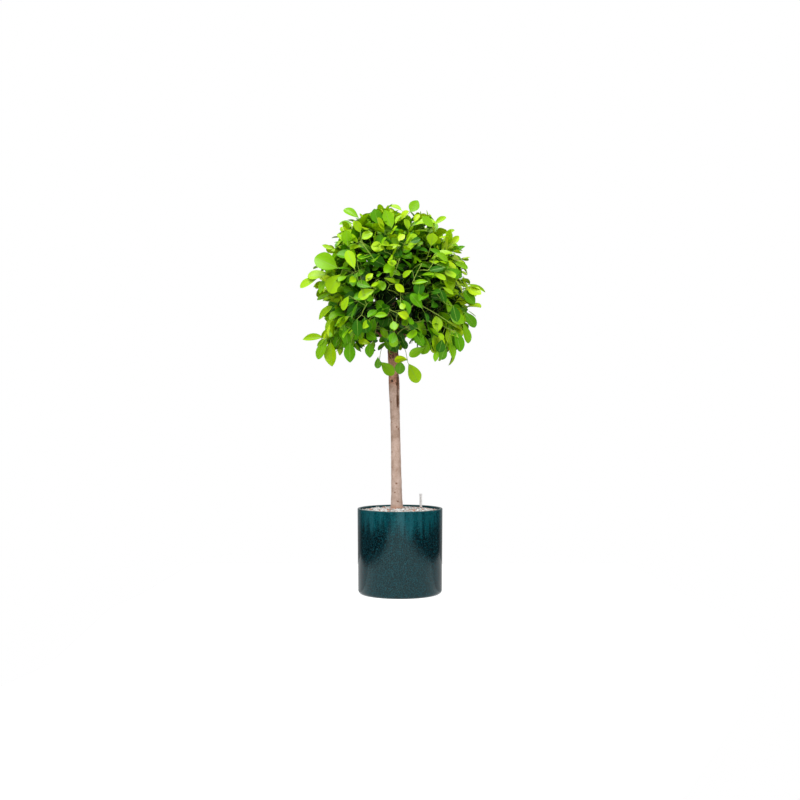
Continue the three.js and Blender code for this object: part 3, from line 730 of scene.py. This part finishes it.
def add_gauge():
    tube = add_cylinder("gauge", GAUGE_SIDES, GAUGE_RADIUS, GAUGE_FOOT, GAUGE_TOP, GAUGE_PLACE)
    select_faces(tube, lambda centre, normal: normal.z > 0.5)
    extrude(0)
    bpy.ops.transform.resize(value=(GAUGE_CAP_WIDENING, GAUGE_CAP_WIDENING, 1))
    extrude(-GAUGE_CAP_HEIGHT)
    bpy.ops.object.mode_set(mode="OBJECT")
    bevel_edges(tube, GAUGE_ROUNDING, 2, 30)
    bpy.ops.object.shade_smooth_by_angle(angle=math.radians(40))
    dress(tube, gauge_material(), ["gauge_tube", "gauge_cap"])


# Trunk and boughs

def trunk_centre(height):
    rise = (height - TRUNK_FOOT.z) / (TRUNK_HEAD.z - TRUNK_FOOT.z)
    sway = math.sin(rise * math.pi) * TRUNK_SWAY
    return Vector((lerp(TRUNK_FOOT.x, TRUNK_HEAD.x, rise) + sway, 0, height))


def bezier(a, b, c, along):
    return a.lerp(b, along).lerp(b.lerp(c, along), along)


def crown_masses():
    masses = []
    for ring in RINGS:
        for i in range(ring["count"]):
            outward = flat_direction(ring["turn"] + i * 360 / ring["count"])
            seed = Vector((CROWN.x, CROWN.y, ring["height"])) + outward * ring["radius"]
            root = trunk_centre(ring["root_height"]) + outward * ring["root_out"]
            span = (seed - root).length
            bend = root + outward * span * ring["spread"] + UP * span * ring["climb"]
            masses.append(dict(ring=ring, seed=seed, root=root, bend=bend))
    return masses


def bough_limb(mass):
    """From inside the trunk's head, along the same curve as the solids', to the mass's seed."""
    points = []
    for step in range(BOUGH_STEPS + 1):
        along = step / BOUGH_STEPS
        point = bezier(mass["root"], mass["bend"], mass["seed"], along)
        enter = mass["ring"]["enter"]
        if along < enter:
            radius = lerp(mass["ring"]["root_radius"], BOUGH_TIP_RADIUS, along / enter)
        else:
            radius = lerp(BOUGH_TIP_RADIUS, STEM_TIP_RADIUS, (along - enter) / (1 - enter))
        points.append((point, radius))
    return points


def add_burr(height, turn, radius):
    place = trunk_centre(height) + flat_direction(turn) * (BURR_OUT - radius * BURR_SINK)
    bpy.ops.mesh.primitive_uv_sphere_add(
        segments=16, ring_count=10, radius=radius * MM, location=place * MM)
    return bpy.context.object


def add_bark(masses):
    """Trunk, burrs and boughs grown into one skin."""
    stem = [(trunk_centre(TRUNK_FOOT.z + height), radius) for radius, height in TRUNK_PROFILE]
    trunk = limbs_piece("bark", [stem], rings=8)
    parts = [trunk, limbs_piece("boughs", [bough_limb(mass) for mass in masses], rings=3)]
    parts += [add_burr(*burr) for burr in BURRS]
    for part in parts:
        part.select_set(True)
    bpy.context.view_layer.objects.active = trunk
    bpy.ops.object.join()
    bpy.ops.object.transform_apply(location=True, rotation=True, scale=True)
    skin = trunk.modifiers.new("one skin", "REMESH")
    skin.mode = "VOXEL"
    skin.voxel_size = BARK_VOXEL * MM
    soft = trunk.modifiers.new("softened", "SMOOTH")
    soft.iterations = 3
    relief = bpy.data.textures.new("bark relief", "CLOUDS")
    relief.noise_scale = BARK_RELIEF_SIZE * MM
    bumps = trunk.modifiers.new("relief", "DISPLACE")
    bumps.texture = relief
    bumps.texture_coords = "LOCAL"
    bumps.strength = BARK_RELIEF * MM
    bumps.mid_level = 0.5
    apply_modifiers(trunk)
    bpy.ops.object.shade_smooth()
    dress(trunk, bark_material(), BARK_NODES)


# Crown

def crown_reach(direction):
    """How far the outline lies from the crown's centre in a direction."""
    up = direction.z > 0
    power = DOME_POWER if up else SKIRT_POWER
    across = math.hypot(direction.x, direction.y) / CROWN_RADIUS
    upright = abs(direction.z) / (CROWN_RISE if up else CROWN_DROP)
    return (across ** power + upright ** power) ** (-1 / power)


def crown_point(direction, inset):
    return CROWN + direction * (crown_reach(direction) - inset)


def outward_at(point):
    return (point - CROWN).normalized()


def spread_directions(count):
    """Directions dealt evenly over a ball."""
    for i in range(count):
        height = 1 - (2 * i + 1) / count
        flat = math.sqrt(1 - height * height)
        turn = i * GOLDEN_ANGLE
        yield Vector((flat * math.cos(turn), flat * math.sin(turn), height))


def underside(point):
    return UNDERSIDE_HEIGHT - UNDERSIDE_FALL * math.hypot(point.x - CROWN.x, point.y - CROWN.y)


def skirt(point):
    """Leaves hang lowest at the crown's two sides and end higher in front of the trunk."""
    beyond = max(0, abs(point.x - CROWN.x) - SKIRT_FRONT_WIDTH)
    return max(SKIRT_SIDES, SKIRT_FRONT - SKIRT_FALL * beyond)


def too_low(tip, clearance):
    return tip.z < max(underside(tip) + clearance, skirt(tip) + TIP_LIFT)


def in_hollow(point):
    """Bites out of the crown's outline, and the gaps that show the sky through it."""
    if any((point - Vector(centre)).length < radius for centre, radius in HOLLOWS):
        return True
    return any(math.hypot((point.x - x) / wide, (point.z - z) / high) < 1
               for x, z, wide, high in SKY_GAPS)


def nearest(point, things, key):
    """The thing whose item `key` lies nearest to a point."""
    return min(things, key=lambda thing: (thing[key] - point).length_squared)


def hang_at(point):
    """Leaves lie up and out on the dome and hang straight down at the skirt."""
    low, high = CROWN.z - CROWN_DROP, CROWN.z + CROWN_RISE
    return lerp(1.5, -0.4, clamp((point.z - low) / (high - low)) ** 0.55)


# Half widths of the two leaf outlines at their stations from foot to tip
LEAF_STATIONS = (0.07, 0.18, 0.32, 0.47, 0.62, 0.76, 0.88, 0.96)
LONG_OUTLINE = (0.15, 0.42, 0.71, 0.92, 1, 0.93, 0.69, 0.38)
OVAL_OUTLINE = (0.22, 0.58, 0.87, 1, 0.97, 0.79, 0.49, 0.2)
LEAF_COLUMNS = (-1, -0.55, 0, 0.55, 1)


def leaf_shape(outline, width, fold, curl, wave):
    """A blade of unit length along X, folded along its midrib and bent down towards its tip."""
    points = [(0, 0, 0)]
    for along, half in zip(LEAF_STATIONS, outline):
        for column in LEAF_COLUMNS:
            side = column * half * width / 2
            ripple = wave * math.sin(along * 9) * column ** 2
            rise = fold * abs(side) - curl * along ** 2 + ripple
            points.append((along, side, rise))
    points.append((1, 0, -curl))
    rows, columns = len(outline), len(LEAF_COLUMNS)
    faces = [[0, 2 + i, 1 + i] for i in range(columns - 1)]
    for row in range(rows - 1):
        for i in range(columns - 1):
            a = 1 + row * columns + i
            faces.append([a, a + 1, a + 1 + columns, a + columns])
    last = 1 + (rows - 1) * columns
    faces += [[last + i, last + i + 1, len(points) - 1] for i in range(columns - 1)]
    rib = [0] + [1 + row * columns + columns // 2 for row in range(rows)]
    return np.array(points), faces, rib


LEAF_SHAPES = [
    leaf_shape(LONG_OUTLINE, 0.66, 0.28, 0.1, 0.006),
    leaf_shape(LONG_OUTLINE, 0.6, 0.4, 0.18, -0.008),
    leaf_shape(LONG_OUTLINE, 0.7, 0.16, 0.05, 0.01),
    leaf_shape(OVAL_OUTLINE, 0.6, 0.3, 0.14, 0.008),
    leaf_shape(OVAL_OUTLINE, 0.54, 0.45, 0.22, -0.006),
    leaf_shape(OVAL_OUTLINE, 0.64, 0.2, -0.06, 0.008),
]

# Sprays that stand out, listed one by one as seen from the front. Each has the depth it lies at,
# its stem as (across, up), and its leaves: foot across and up, tip across and up, the width in
# percent of the length, and the kind.
# Some kinds here are painted light: leaves that lie in the crown's shadow get paler kinds
GROWN_SPRAYS = [
    # At the left and low in the middle
    (-118, [(-60, 1075), (-30, 1068), (10, 1072)], [
        (-62, 1040, -36, 996, 60, "green"), (-28, 1046, -12, 990, 60, "deep"),
        (6, 1046, 26, 1000, 55, "deep"), (-40, 1058, -84, 1030, 50, "green"),
        (-10, 1070, 14, 1030, 60, "deep")]),
    (-205, [(-135, 1275), (-190, 1300), (-245, 1320)], [
        (-245, 1315, -335, 1362, 72, "fresh"), (-235, 1292, -285, 1222, 80, "light"),
        (-225, 1315, -205, 1345, 60, "fresh"), (-185, 1298, -215, 1262, 55, "green")]),
    (-170, [(-150, 1250), (-250, 1285), (-335, 1280)], [
        (-285, 1298, -370, 1290, 55, "light"), (-325, 1282, -402, 1248, 50, "light"),
        (-290, 1278, -325, 1225, 50, "fresh"), (-255, 1285, -300, 1325, 45, "fresh")]),
    (-170, [(-130, 1390), (-160, 1420), (-187, 1432)], [
        (-187, 1420, -251, 1464, 50, "light"), (-155, 1460, -183, 1508, 50, "light"),
        (-151, 1436, -112, 1468, 75, "light"), (-187, 1317, -207, 1393, 50, "light"),
        (-267, 1397, -311, 1412, 40, "light")]),
    (-130, [(-180, 1230), (-230, 1205), (-268, 1150), (-272, 1120)], [
        (-273, 1225, -333, 1197, 35, "fresh"), (-201, 1217, -229, 1168, 55, "light"),
        (-269, 1173, -333, 1124, 38, "light"), (-265, 1128, -305, 1072, 35, "light"),
        (-241, 1197, -289, 1185, 40, "light")]),
    (-290, [(-130, 1165), (-142, 1145), (-150, 1125)], [
        (-167, 1110, -163, 1044, 65, "deep"), (-138, 1119, -132, 1055, 75, "deep"),
        (-198, 1200, -226, 1145, 50, "light"), (-176, 1304, -206, 1379, 50, "light"),
        (-168, 1337, -132, 1348, 80, "green")]),
    (-90, [(-170, 1110), (-250, 1085), (-310, 1052)], [
        (-310, 1050, -398, 1048, 36, "light"), (-305, 1045, -335, 1012, 40, "fresh"),
        (-293, 1048, -336, 961, 42, "fresh"), (-280, 1030, -282, 930, 58, "light"),
        (-245, 1080, -262, 1010, 40, "green")]),
    (-240, [(-150, 1100), (-175, 1060), (-194, 1024)], [
        (-196, 1021, -198, 942, 60, "green"), (-220, 1090, -204, 1007, 42, "green"),
        (-200, 1125, -251, 1086, 50, "light")]),
    (-225, [(-90, 1100), (-100, 1050), (-112, 1012)], [
        (-114, 1015, -165, 1031, 50, "young"), (-118, 1020, -120, 962, 66, "green"),
        (-79, 1082, -47, 1039, 55, "fresh"), (-39, 1066, -4, 1094, 50, "light")]),
    # At the right
    (-150, [(167, 1232), (216, 1254), (265, 1254)], [
        (263, 1259, 346, 1234, 20, "light"), (267, 1248, 324, 1214, 70, "young"),
        (253, 1235, 297, 1175, 60, "green")]),
    (-90, [(150, 1340), (180, 1352), (214, 1356)], [
        (214, 1354, 275, 1329, 40, "fresh"), (162, 1394, 202, 1358, 60, "light"),
        (210, 1394, 263, 1422, 35, "green"), (186, 1329, 239, 1289, 50, "fresh")]),
    (-150, [(150, 1180), (215, 1160), (255, 1120)], [
        (256, 1148, 305, 1088, 60, "green"), (251, 1103, 279, 1022, 42, "fresh")]),
    (-260, [(140, 1215), (160, 1190), (178, 1172)], [
        (208, 1163, 223, 1098, 58, "deep"), (156, 1229, 180, 1174, 48, "deep"),
        (164, 1237, 211, 1210, 32, "light")]),
    (-240, [(137, 1114), (177, 1080), (218, 1065)], [
        (196, 1023, 216, 956, 42, "fresh"), (200, 1066, 228, 991, 40, "green"),
        (231, 1039, 196, 1066, 50, "light"), (216, 1070, 243, 988, 50, "green"),
        (145, 992, 137, 944, 45, "fresh"), (180, 1007, 161, 952, 55, "green")]),
    (-265, [(108, 1108), (138, 1083), (149, 1059)], [
        (147, 1059, 144, 1126, 62, "light"), (146, 1059, 171, 1032, 60, "light"),
        (165, 1032, 154, 981, 75, "deep")]),
    # On top
    (-40, [(0, 1510), (25, 1545), (42, 1565)], [
        (42, 1562, 74, 1610, 80, "fresh"), (8, 1568, -45, 1600, 40, "light"),
        (20, 1545, -28, 1560, 50, "green")]),
    (-60, [(-100, 1490), (-140, 1515), (-165, 1532)], [
        (-167, 1535, -228, 1578, 50, "fresh"), (-191, 1512, -248, 1518, 45, "fresh"),
        (-130, 1508, -112, 1560, 50, "fresh")]),
    (-70, [(80, 1470), (115, 1490), (136, 1500)], [
        (134, 1500, 86, 1548, 55, "fresh"), (138, 1506, 186, 1545, 40, "light"),
        (176, 1468, 222, 1488, 34, "light")]),
    (-228, [(-120, 1370), (-140, 1400), (-152, 1428)], [
        (-157, 1456, -177, 1501, 65, "light"), (-151, 1429, -111, 1456, 80, "light"),
        (-205, 1399, -212, 1461, 68, "fresh")]),
    (-150, [(-60, 1470), (-70, 1490), (-84, 1498)], [
        (-87, 1499, -104, 1560, 75, "green"), (-29, 1519, -44, 1548, 90, "light")]),
    # In front
    (-272, [(110, 1300), (130, 1330), (138, 1362)], [
        (140, 1369, 191, 1341, 50, "fresh"), (176, 1313, 113, 1298, 45, "deep"),
        (132, 1289, 179, 1266, 45, "light")]),
    (-205, [(150, 1330), (165, 1322), (176, 1315)], [
        (177, 1314, 246, 1283, 55, "green")]),
    (-282, [(20, 1380), (28, 1395), (38, 1408)], [
        (39, 1411, 79, 1420, 60, "deep"), (-7, 1414, 17, 1442, 75, "young")]),
    (-190, [(105, 1440), (120, 1462), (129, 1478)], [
        (130, 1481, 86, 1522, 72, "fresh")]),
    (-262, [(-20, 1350), (-40, 1368), (-62, 1376)], [
        (-59, 1386, -112, 1399, 85, "yellow"), (4, 1399, -55, 1389, 42, "yellow"),
        (-5, 1345, -12, 1395, 70, "deep")]),
    (-228, [(105, 1350), (115, 1380), (122, 1402)], [
        (122, 1402, 130, 1450, 85, "light"), (118, 1385, 170, 1370, 50, "green")]),
    (-292, [(-95, 1230), (-120, 1240), (-132, 1255)], [
        (-132, 1255, -108, 1290, 60, "young"), (-98, 1224, -164, 1193, 60, "light"),
        (-112, 1232, -170, 1255, 50, "green")]),
    (-275, [(-50, 1225), (-40, 1245), (-22, 1248)], [
        (-20, 1247, 16, 1216, 60, "young"), (-62, 1271, -16, 1255, 35, "light")]),
    (-285, [(30, 1140), (55, 1170), (72, 1195)], [
        (72, 1198, 76, 1250, 85, "deep"), (88, 1150, 42, 1208, 55, "green"),
        (48, 1300, 8, 1276, 50, "light"), (109, 1256, 47, 1252, 36, "fresh"),
        (-12, 1186, 28, 1138, 50, "green")]),
    (-312, [(-50, 1150), (-30, 1140), (-10, 1132)], [
        (-10, 1132, 35, 1116, 70, "young"), (-48, 1124, -96, 1124, 50, "fresh"),
        (-22, 1058, -34, 1012, 70, "green")]),
    (-215, [(70, 1125), (100, 1070), (122, 1022)], [
        (99, 1004, 36, 969, 50, "fresh"), (118, 1020, 83, 977, 75, "fresh"),
        (79, 1079, 83, 1008, 85, "green")]),
    (-232, [(40, 1125), (48, 1112), (55, 1103)], [
        (55, 1103, 110, 1056, 50, "fresh")]),
    # Stems in front of the leaves, without any of their own
    (-285, [(-153, 1411), (-123, 1374), (-100, 1340)], []),
    (-285, [(-1, 1345), (-18, 1296), (-34, 1268)], []),
    (-285, [(85, 1325), (66, 1290), (48, 1251)], []),
    (-280, [(86, 1162), (149, 1126), (221, 1079)], []),
]
# Beside the stem, under the crown
HANGERS = [
    (-66, [(-40, 985), (-66, 1040), (-80, 985), (-84, 950)], [
        (-90, 970, -90, 922, 60, "green"), (-78, 950, -26, 897, 62, "fresh")]),
    (-66, [(-14, 990), (6, 1044), (24, 990), (32, 947)], [
        (31, 960, -24, 960, 60, "lemon_painted_lit"), (2, 952, -2, 898, 78, "green"),
        (34, 944, 76, 866, 62, "light"), (-30, 1050, -26, 990, 62, "deep"),
        (-52, 1030, -92, 1000, 45, "green")]),
]

# Leaf kinds from the youngest to the shade leaves: colour, roughness and shine. Lemon and yellow
# leaves are only placed where listed.
LEAF_KINDS = {
    # Lemon leaves are the yellow kind made brighter: painted light for a leaf in the crown's shadow
    "lemon_painted_lit": (linear(212, 250, 2), 0.45, 0.2),
    "yellow": (linear(148, 184, 8), 0.42, 0.3),
    "young": (linear(158, 192, 8), 0.4, 0.22),
    "light": (linear(140, 183, 6), 0.4, 0.22),
    "fresh": (linear(113, 166, 5), 0.4, 0.2),
    "green": (linear(80, 140, 4), 0.4, 0.16),
    "deep": (linear(42, 96, 4), 0.4, 0.16),
    # Shade leaves are near-black: painted shade for leaves deep in the crown
    "shade": (linear(11, 33, 2), 0.6, 0.12),
}
KIND_ORDER = [kind for kind in LEAF_KINDS if kind not in ("lemon_painted_lit", "yellow")]


class Foliage:
    """Leaves of each kind, their ribs, and the twigs and stalks that carry them."""

    def __init__(self):
        self.leaves = {kind: Batch() for kind in LEAF_KINDS}
        self.ribs = Batch()
        self.green = []
        self.brown = []

    def add_leaf(self, root, axis, face, length, kind, width=None):
        """A leaf on a stalk, or a listed one with its own width."""
        grown = width is None
        axis = axis.normalized()
        across = face.cross(axis)
        if across.length < 0.05:
            return
        across.normalize()
        up = axis.cross(across)
        start = root
        if grown:
            start = root + (axis + up * 0.25).normalized() * STALK_LENGTH * length / LEAF_LENGTH
        shape, faces, rib = LEAF_SHAPES[rng.randrange(len(LEAF_SHAPES))]
        turn = np.array([axis, across, up]) * length
        if not grown:
            turn[1] *= width / (shape[:, 1].max() - shape[:, 1].min())
        points = shape @ turn + np.array(start)
        if grown:
            lowest = skirt(start) + rng.uniform(-15, 85)
            if points[:, 2].min() < lowest or in_hollow(start + axis * length / 2):
                return
        if (points.min(axis=0) < LEAF_BOX[0]).any() or (points.max(axis=0) > LEAF_BOX[1]).any():
            return
        if grown:
            self.green.append(tapered([root, start], *STALK_RADII))
        self.leaves[kind].add(points, faces)
        self.add_rib(points[rib], np.array(across), np.array(up), length)

    def add_rib(self, line, across, up, length):
        """A pale raised strip along the middle of the blade."""
        count = len(line)
        wide = across * np.linspace(*RIB_WIDTHS, count)[:, None] * length
        lifted = line + up * RIB_LIFT
        faces = [[i, i + 1, i + 1 + count, i + count] for i in range(count - 1)]
        self.ribs.add(np.concatenate([lifted - wide, lifted + wide]), faces)


def leaf_length():
    if rng.random() < BIG_LEAF_SHARE:
        return rng.uniform(*BIG_LEAF_LENGTHS)
    return LEAF_LENGTH + vary(LEAF_SPREAD)


def kind_near(level):
    """The leaf colour for a level from 0 (young) to 1 (painted shade), scattered a little."""
    place = level * (len(KIND_ORDER) - 1) + rng.gauss(0, 0.55)
    return KIND_ORDER[min(len(KIND_ORDER) - 1, max(0, round(place)))]


def leaf_up(foliage, path, hang, level, first, spacing=LEAF_SPACING):
    """Leaves alternate up a twig from the share `first` of its length, and one ends it."""
    length = sum((b - a).length for a, b in zip(path, path[1:]))
    count = max(2, round(length * (1 - first) / spacing))
    for i in range(count + 1):
        spot = lerp(first, 1, i / count) * (len(path) - 1)
        k = min(int(spot), len(path) - 2)
        joint = path[k].lerp(path[k + 1], spot - k)
        along = (path[k + 1] - path[k]).normalized()
        outward = outward_at(joint)
        side = along.cross(outward).normalized() * (1 if i % 2 else -1)
        last = i == count
        axis = along * (1 if last else 0.55) + side * (vary(0.4) if last else 0.85) + outward * 0.3
        axis += Vector((vary(0.3), vary(0.3), -hang + vary(0.35)))
        face = outward + Vector((vary(0.7), vary(0.7), 0.6 + vary(0.6)))
        size = leaf_length() * (0.75 if last else 1)
        foliage.add_leaf(joint, axis, face, size, kind_near(leaf_level(joint, level)))


def arched(start, end, lift, steps=5):
    bend = start.lerp(end, 0.55) + Vector((0, 0, lift * (end - start).length))
    return [bezier(start, bend, end, i / steps) for i in range(steps + 1)]


def tapered(path, thick, thin):
    return [(point, lerp(thick, thin, i / (len(path) - 1))) for i, point in enumerate(path)]


def grow_branches(foliage, masses):
    """The solids' twigs, drawn shorter, as paths that the finer twigs grow from."""
    branches = []
    for direction in spread_directions(BRANCH_COUNT):
        seed = nearest(crown_point(direction, BRANCH_AIM_INSET), masses, "seed")["seed"]
        along = (crown_point(direction, BRANCH_INSET) - seed).normalized()
        start = seed + along * BRANCH_START
        end = crown_point(direction, BRANCH_INSET + vary(BRANCH_PLAY))
        end.z = max(end.z, underside(end) + BRANCH_CLEARANCE)
        path = arched(start, end, BRANCH_ARCH)
        foliage.brown.append(tapered(path, *BRANCH_RADII))
        branches.append(path)
    return branches


def depth_in_crown(point):
    offset = point - CROWN
    return crown_reach(offset.normalized()) - offset.length


def leaf_level(joint, base):
    """Pale leaves on top and at the sides, darker ones in the middle of the front and inside:
    painted light and shade, with younger leaves on top.
    """
    rise = (joint.z - (CROWN.z - CROWN_DROP)) / (CROWN_RISE + CROWN_DROP)
    inside = clamp(depth_in_crown(joint) / SHADE_DEPTH)
    front = max(0, -outward_at(joint).y) ** 2
    middle = 4 * rise * (1 - rise)
    # Patches of painted light and shade, and painted shade in front at mid height and inside
    patch = sum(change * max(0, 1 - (joint - Vector(place)).length / reach)
                for place, reach, change in PAINTED_LIGHT_AND_SHADE_PATCHES)
    dark = FRONT_PAINTED_SHADE * front * middle + lerp(*INSIDE_PAINTED_SHADE, rise) * inside
    return base + LEVEL_BASE - TOP_YOUNG_AND_PAINTED_LIGHT * rise + dark + patch


def grow_sprigs(foliage, branches):
    """Green twigs that fill the crown's outside, leafy at their ends."""
    for direction in spread_directions(SPRIG_COUNT):
        direction = (direction + Vector((vary(0.05), vary(0.05), vary(0.05)))).normalized()
        inset = SPRIG_INSET + SPRIG_TOP_INSET * max(0, direction.z) ** 2
        tip = crown_point(direction, inset + SPRIG_DEPTH * rng.random() ** 1.6)
        if too_low(tip, SPRIG_CLEARANCE) or in_hollow(tip):
            continue
        root = rng.choice(nearest(tip, branches, -1)[3:])
        path = arched(root, tip, SPRIG_ARCH)
        foliage.green.append(tapered(path, *SPRIG_RADII))
        first = max(0.1, 1 - LEAFY_LENGTH / max((tip - root).length, 1))
        leaf_up(foliage, path, hang_at(tip), rng.gauss(0.0, 0.13), first)


def grow_inner(foliage, branches):
    """Leaves inside the crown, given darker levels as painted shade."""
    for direction in spread_directions(INNER_COUNT):
        tip = crown_point(direction, INNER_INSET + vary(INNER_PLAY))
        if too_low(tip, INNER_CLEARANCE) or in_hollow(tip):
            continue
        root = rng.choice(nearest(tip, branches, -1)[1:4])
        path = arched(root, tip, INNER_ARCH, 4)
        foliage.brown.append(tapered(path, *INNER_RADII))
        leaf_up(foliage, path, hang_at(tip) * 0.8, 0.3, 0.15, INNER_LEAF_SPACING)


def add_spray(foliage, spray):
    """Adds its stem and leaves, and gives the stem's first point."""
    depth, stem, leaves = spray
    stem = [Vector((x, depth, z)) for x, z in stem]
    foliage.green.append(tapered(stem, *SPRAY_RADII))
    for foot_x, foot_z, tip_x, tip_z, width, kind in leaves:
        foot = Vector((foot_x, depth + vary(SPRAY_FOOT_PLAY), foot_z))
        tip = Vector((tip_x, depth + vary(SPRAY_TIP_PLAY), tip_z))
        axis = tip - foot
        outward = outward_at(foot)
        outward.z = max(0, outward.z)
        face = Vector((vary(0.25), -1, 0.55 + vary(0.25))) + outward * 0.4
        foliage.add_leaf(foot, axis, face, axis.length, kind, width / 100)
        joint = nearest_point(foot, stem)
        if (foot - joint).length > SPRAY_STALK_FROM:
            foliage.green.append(tapered([joint, foot], *SPRAY_STALK_RADII))
    return stem[0]


def nearest_point(point, path):
    """The nearest place to a point along a path of straight steps."""
    spots = [a.lerp(b, clamp((point - a).dot(b - a) / (b - a).length_squared))
             for a, b in zip(path, path[1:])]
    return min(spots, key=lambda spot: (spot - point).length)


def grow_sprays(foliage, branches):
    for spray in GROWN_SPRAYS:
        foot = add_spray(foliage, spray)
        limb = arched(nearest(foot, branches, -1)[4], foot, BRANCH_ARCH)
        foliage.green.append(tapered(limb, *SPRAY_LIMB_RADII))
    for spray in HANGERS:
        foot = add_spray(foliage, spray)
        foliage.green.append(tapered([trunk_centre(foot.z), foot], *HANGER_LIMB_RADII))


def dress_foliage(piece, name, colour, roughness, slot="leaves", **values):
    dress(piece, plain(name, colour, roughness, **values), FOLIAGE_NODES)


def add_crown(masses):
    foliage = Foliage()
    branches = grow_branches(foliage, masses)
    grow_sprigs(foliage, branches)
    grow_inner(foliage, branches)
    grow_sprays(foliage, branches)
    for kind, (colour, roughness, shine) in LEAF_KINDS.items():
        leaves = foliage.leaves[kind].piece(f"leaves_{kind}")
        dress_foliage(leaves, f"{kind} leaf", colour, roughness, specular_ior_level=shine)
    dress_foliage(foliage.ribs.piece("leaf_ribs"), "leaf rib", linear(120, 160, 50), 0.5)
    twigs = limbs_piece("green_twigs", foliage.green, rings=0)
    dress_foliage(twigs, "green twig", linear(130, 158, 54), 0.5)
    wood = limbs_piece("brown_twigs", foliage.brown, rings=0)
    dress_foliage(wood, "brown twig", linear(86, 62, 46), 0.75, "young_bark")


bpy.context.scene.view_settings.view_transform = "Standard"
add_camera()
add_world()
add_floor()
for softbox in SOFTBOXES:
    add_softbox(*softbox)

add_pot()
add_filling()
add_gauge()
masses = crown_masses()
add_bark(masses)
add_crown(masses)
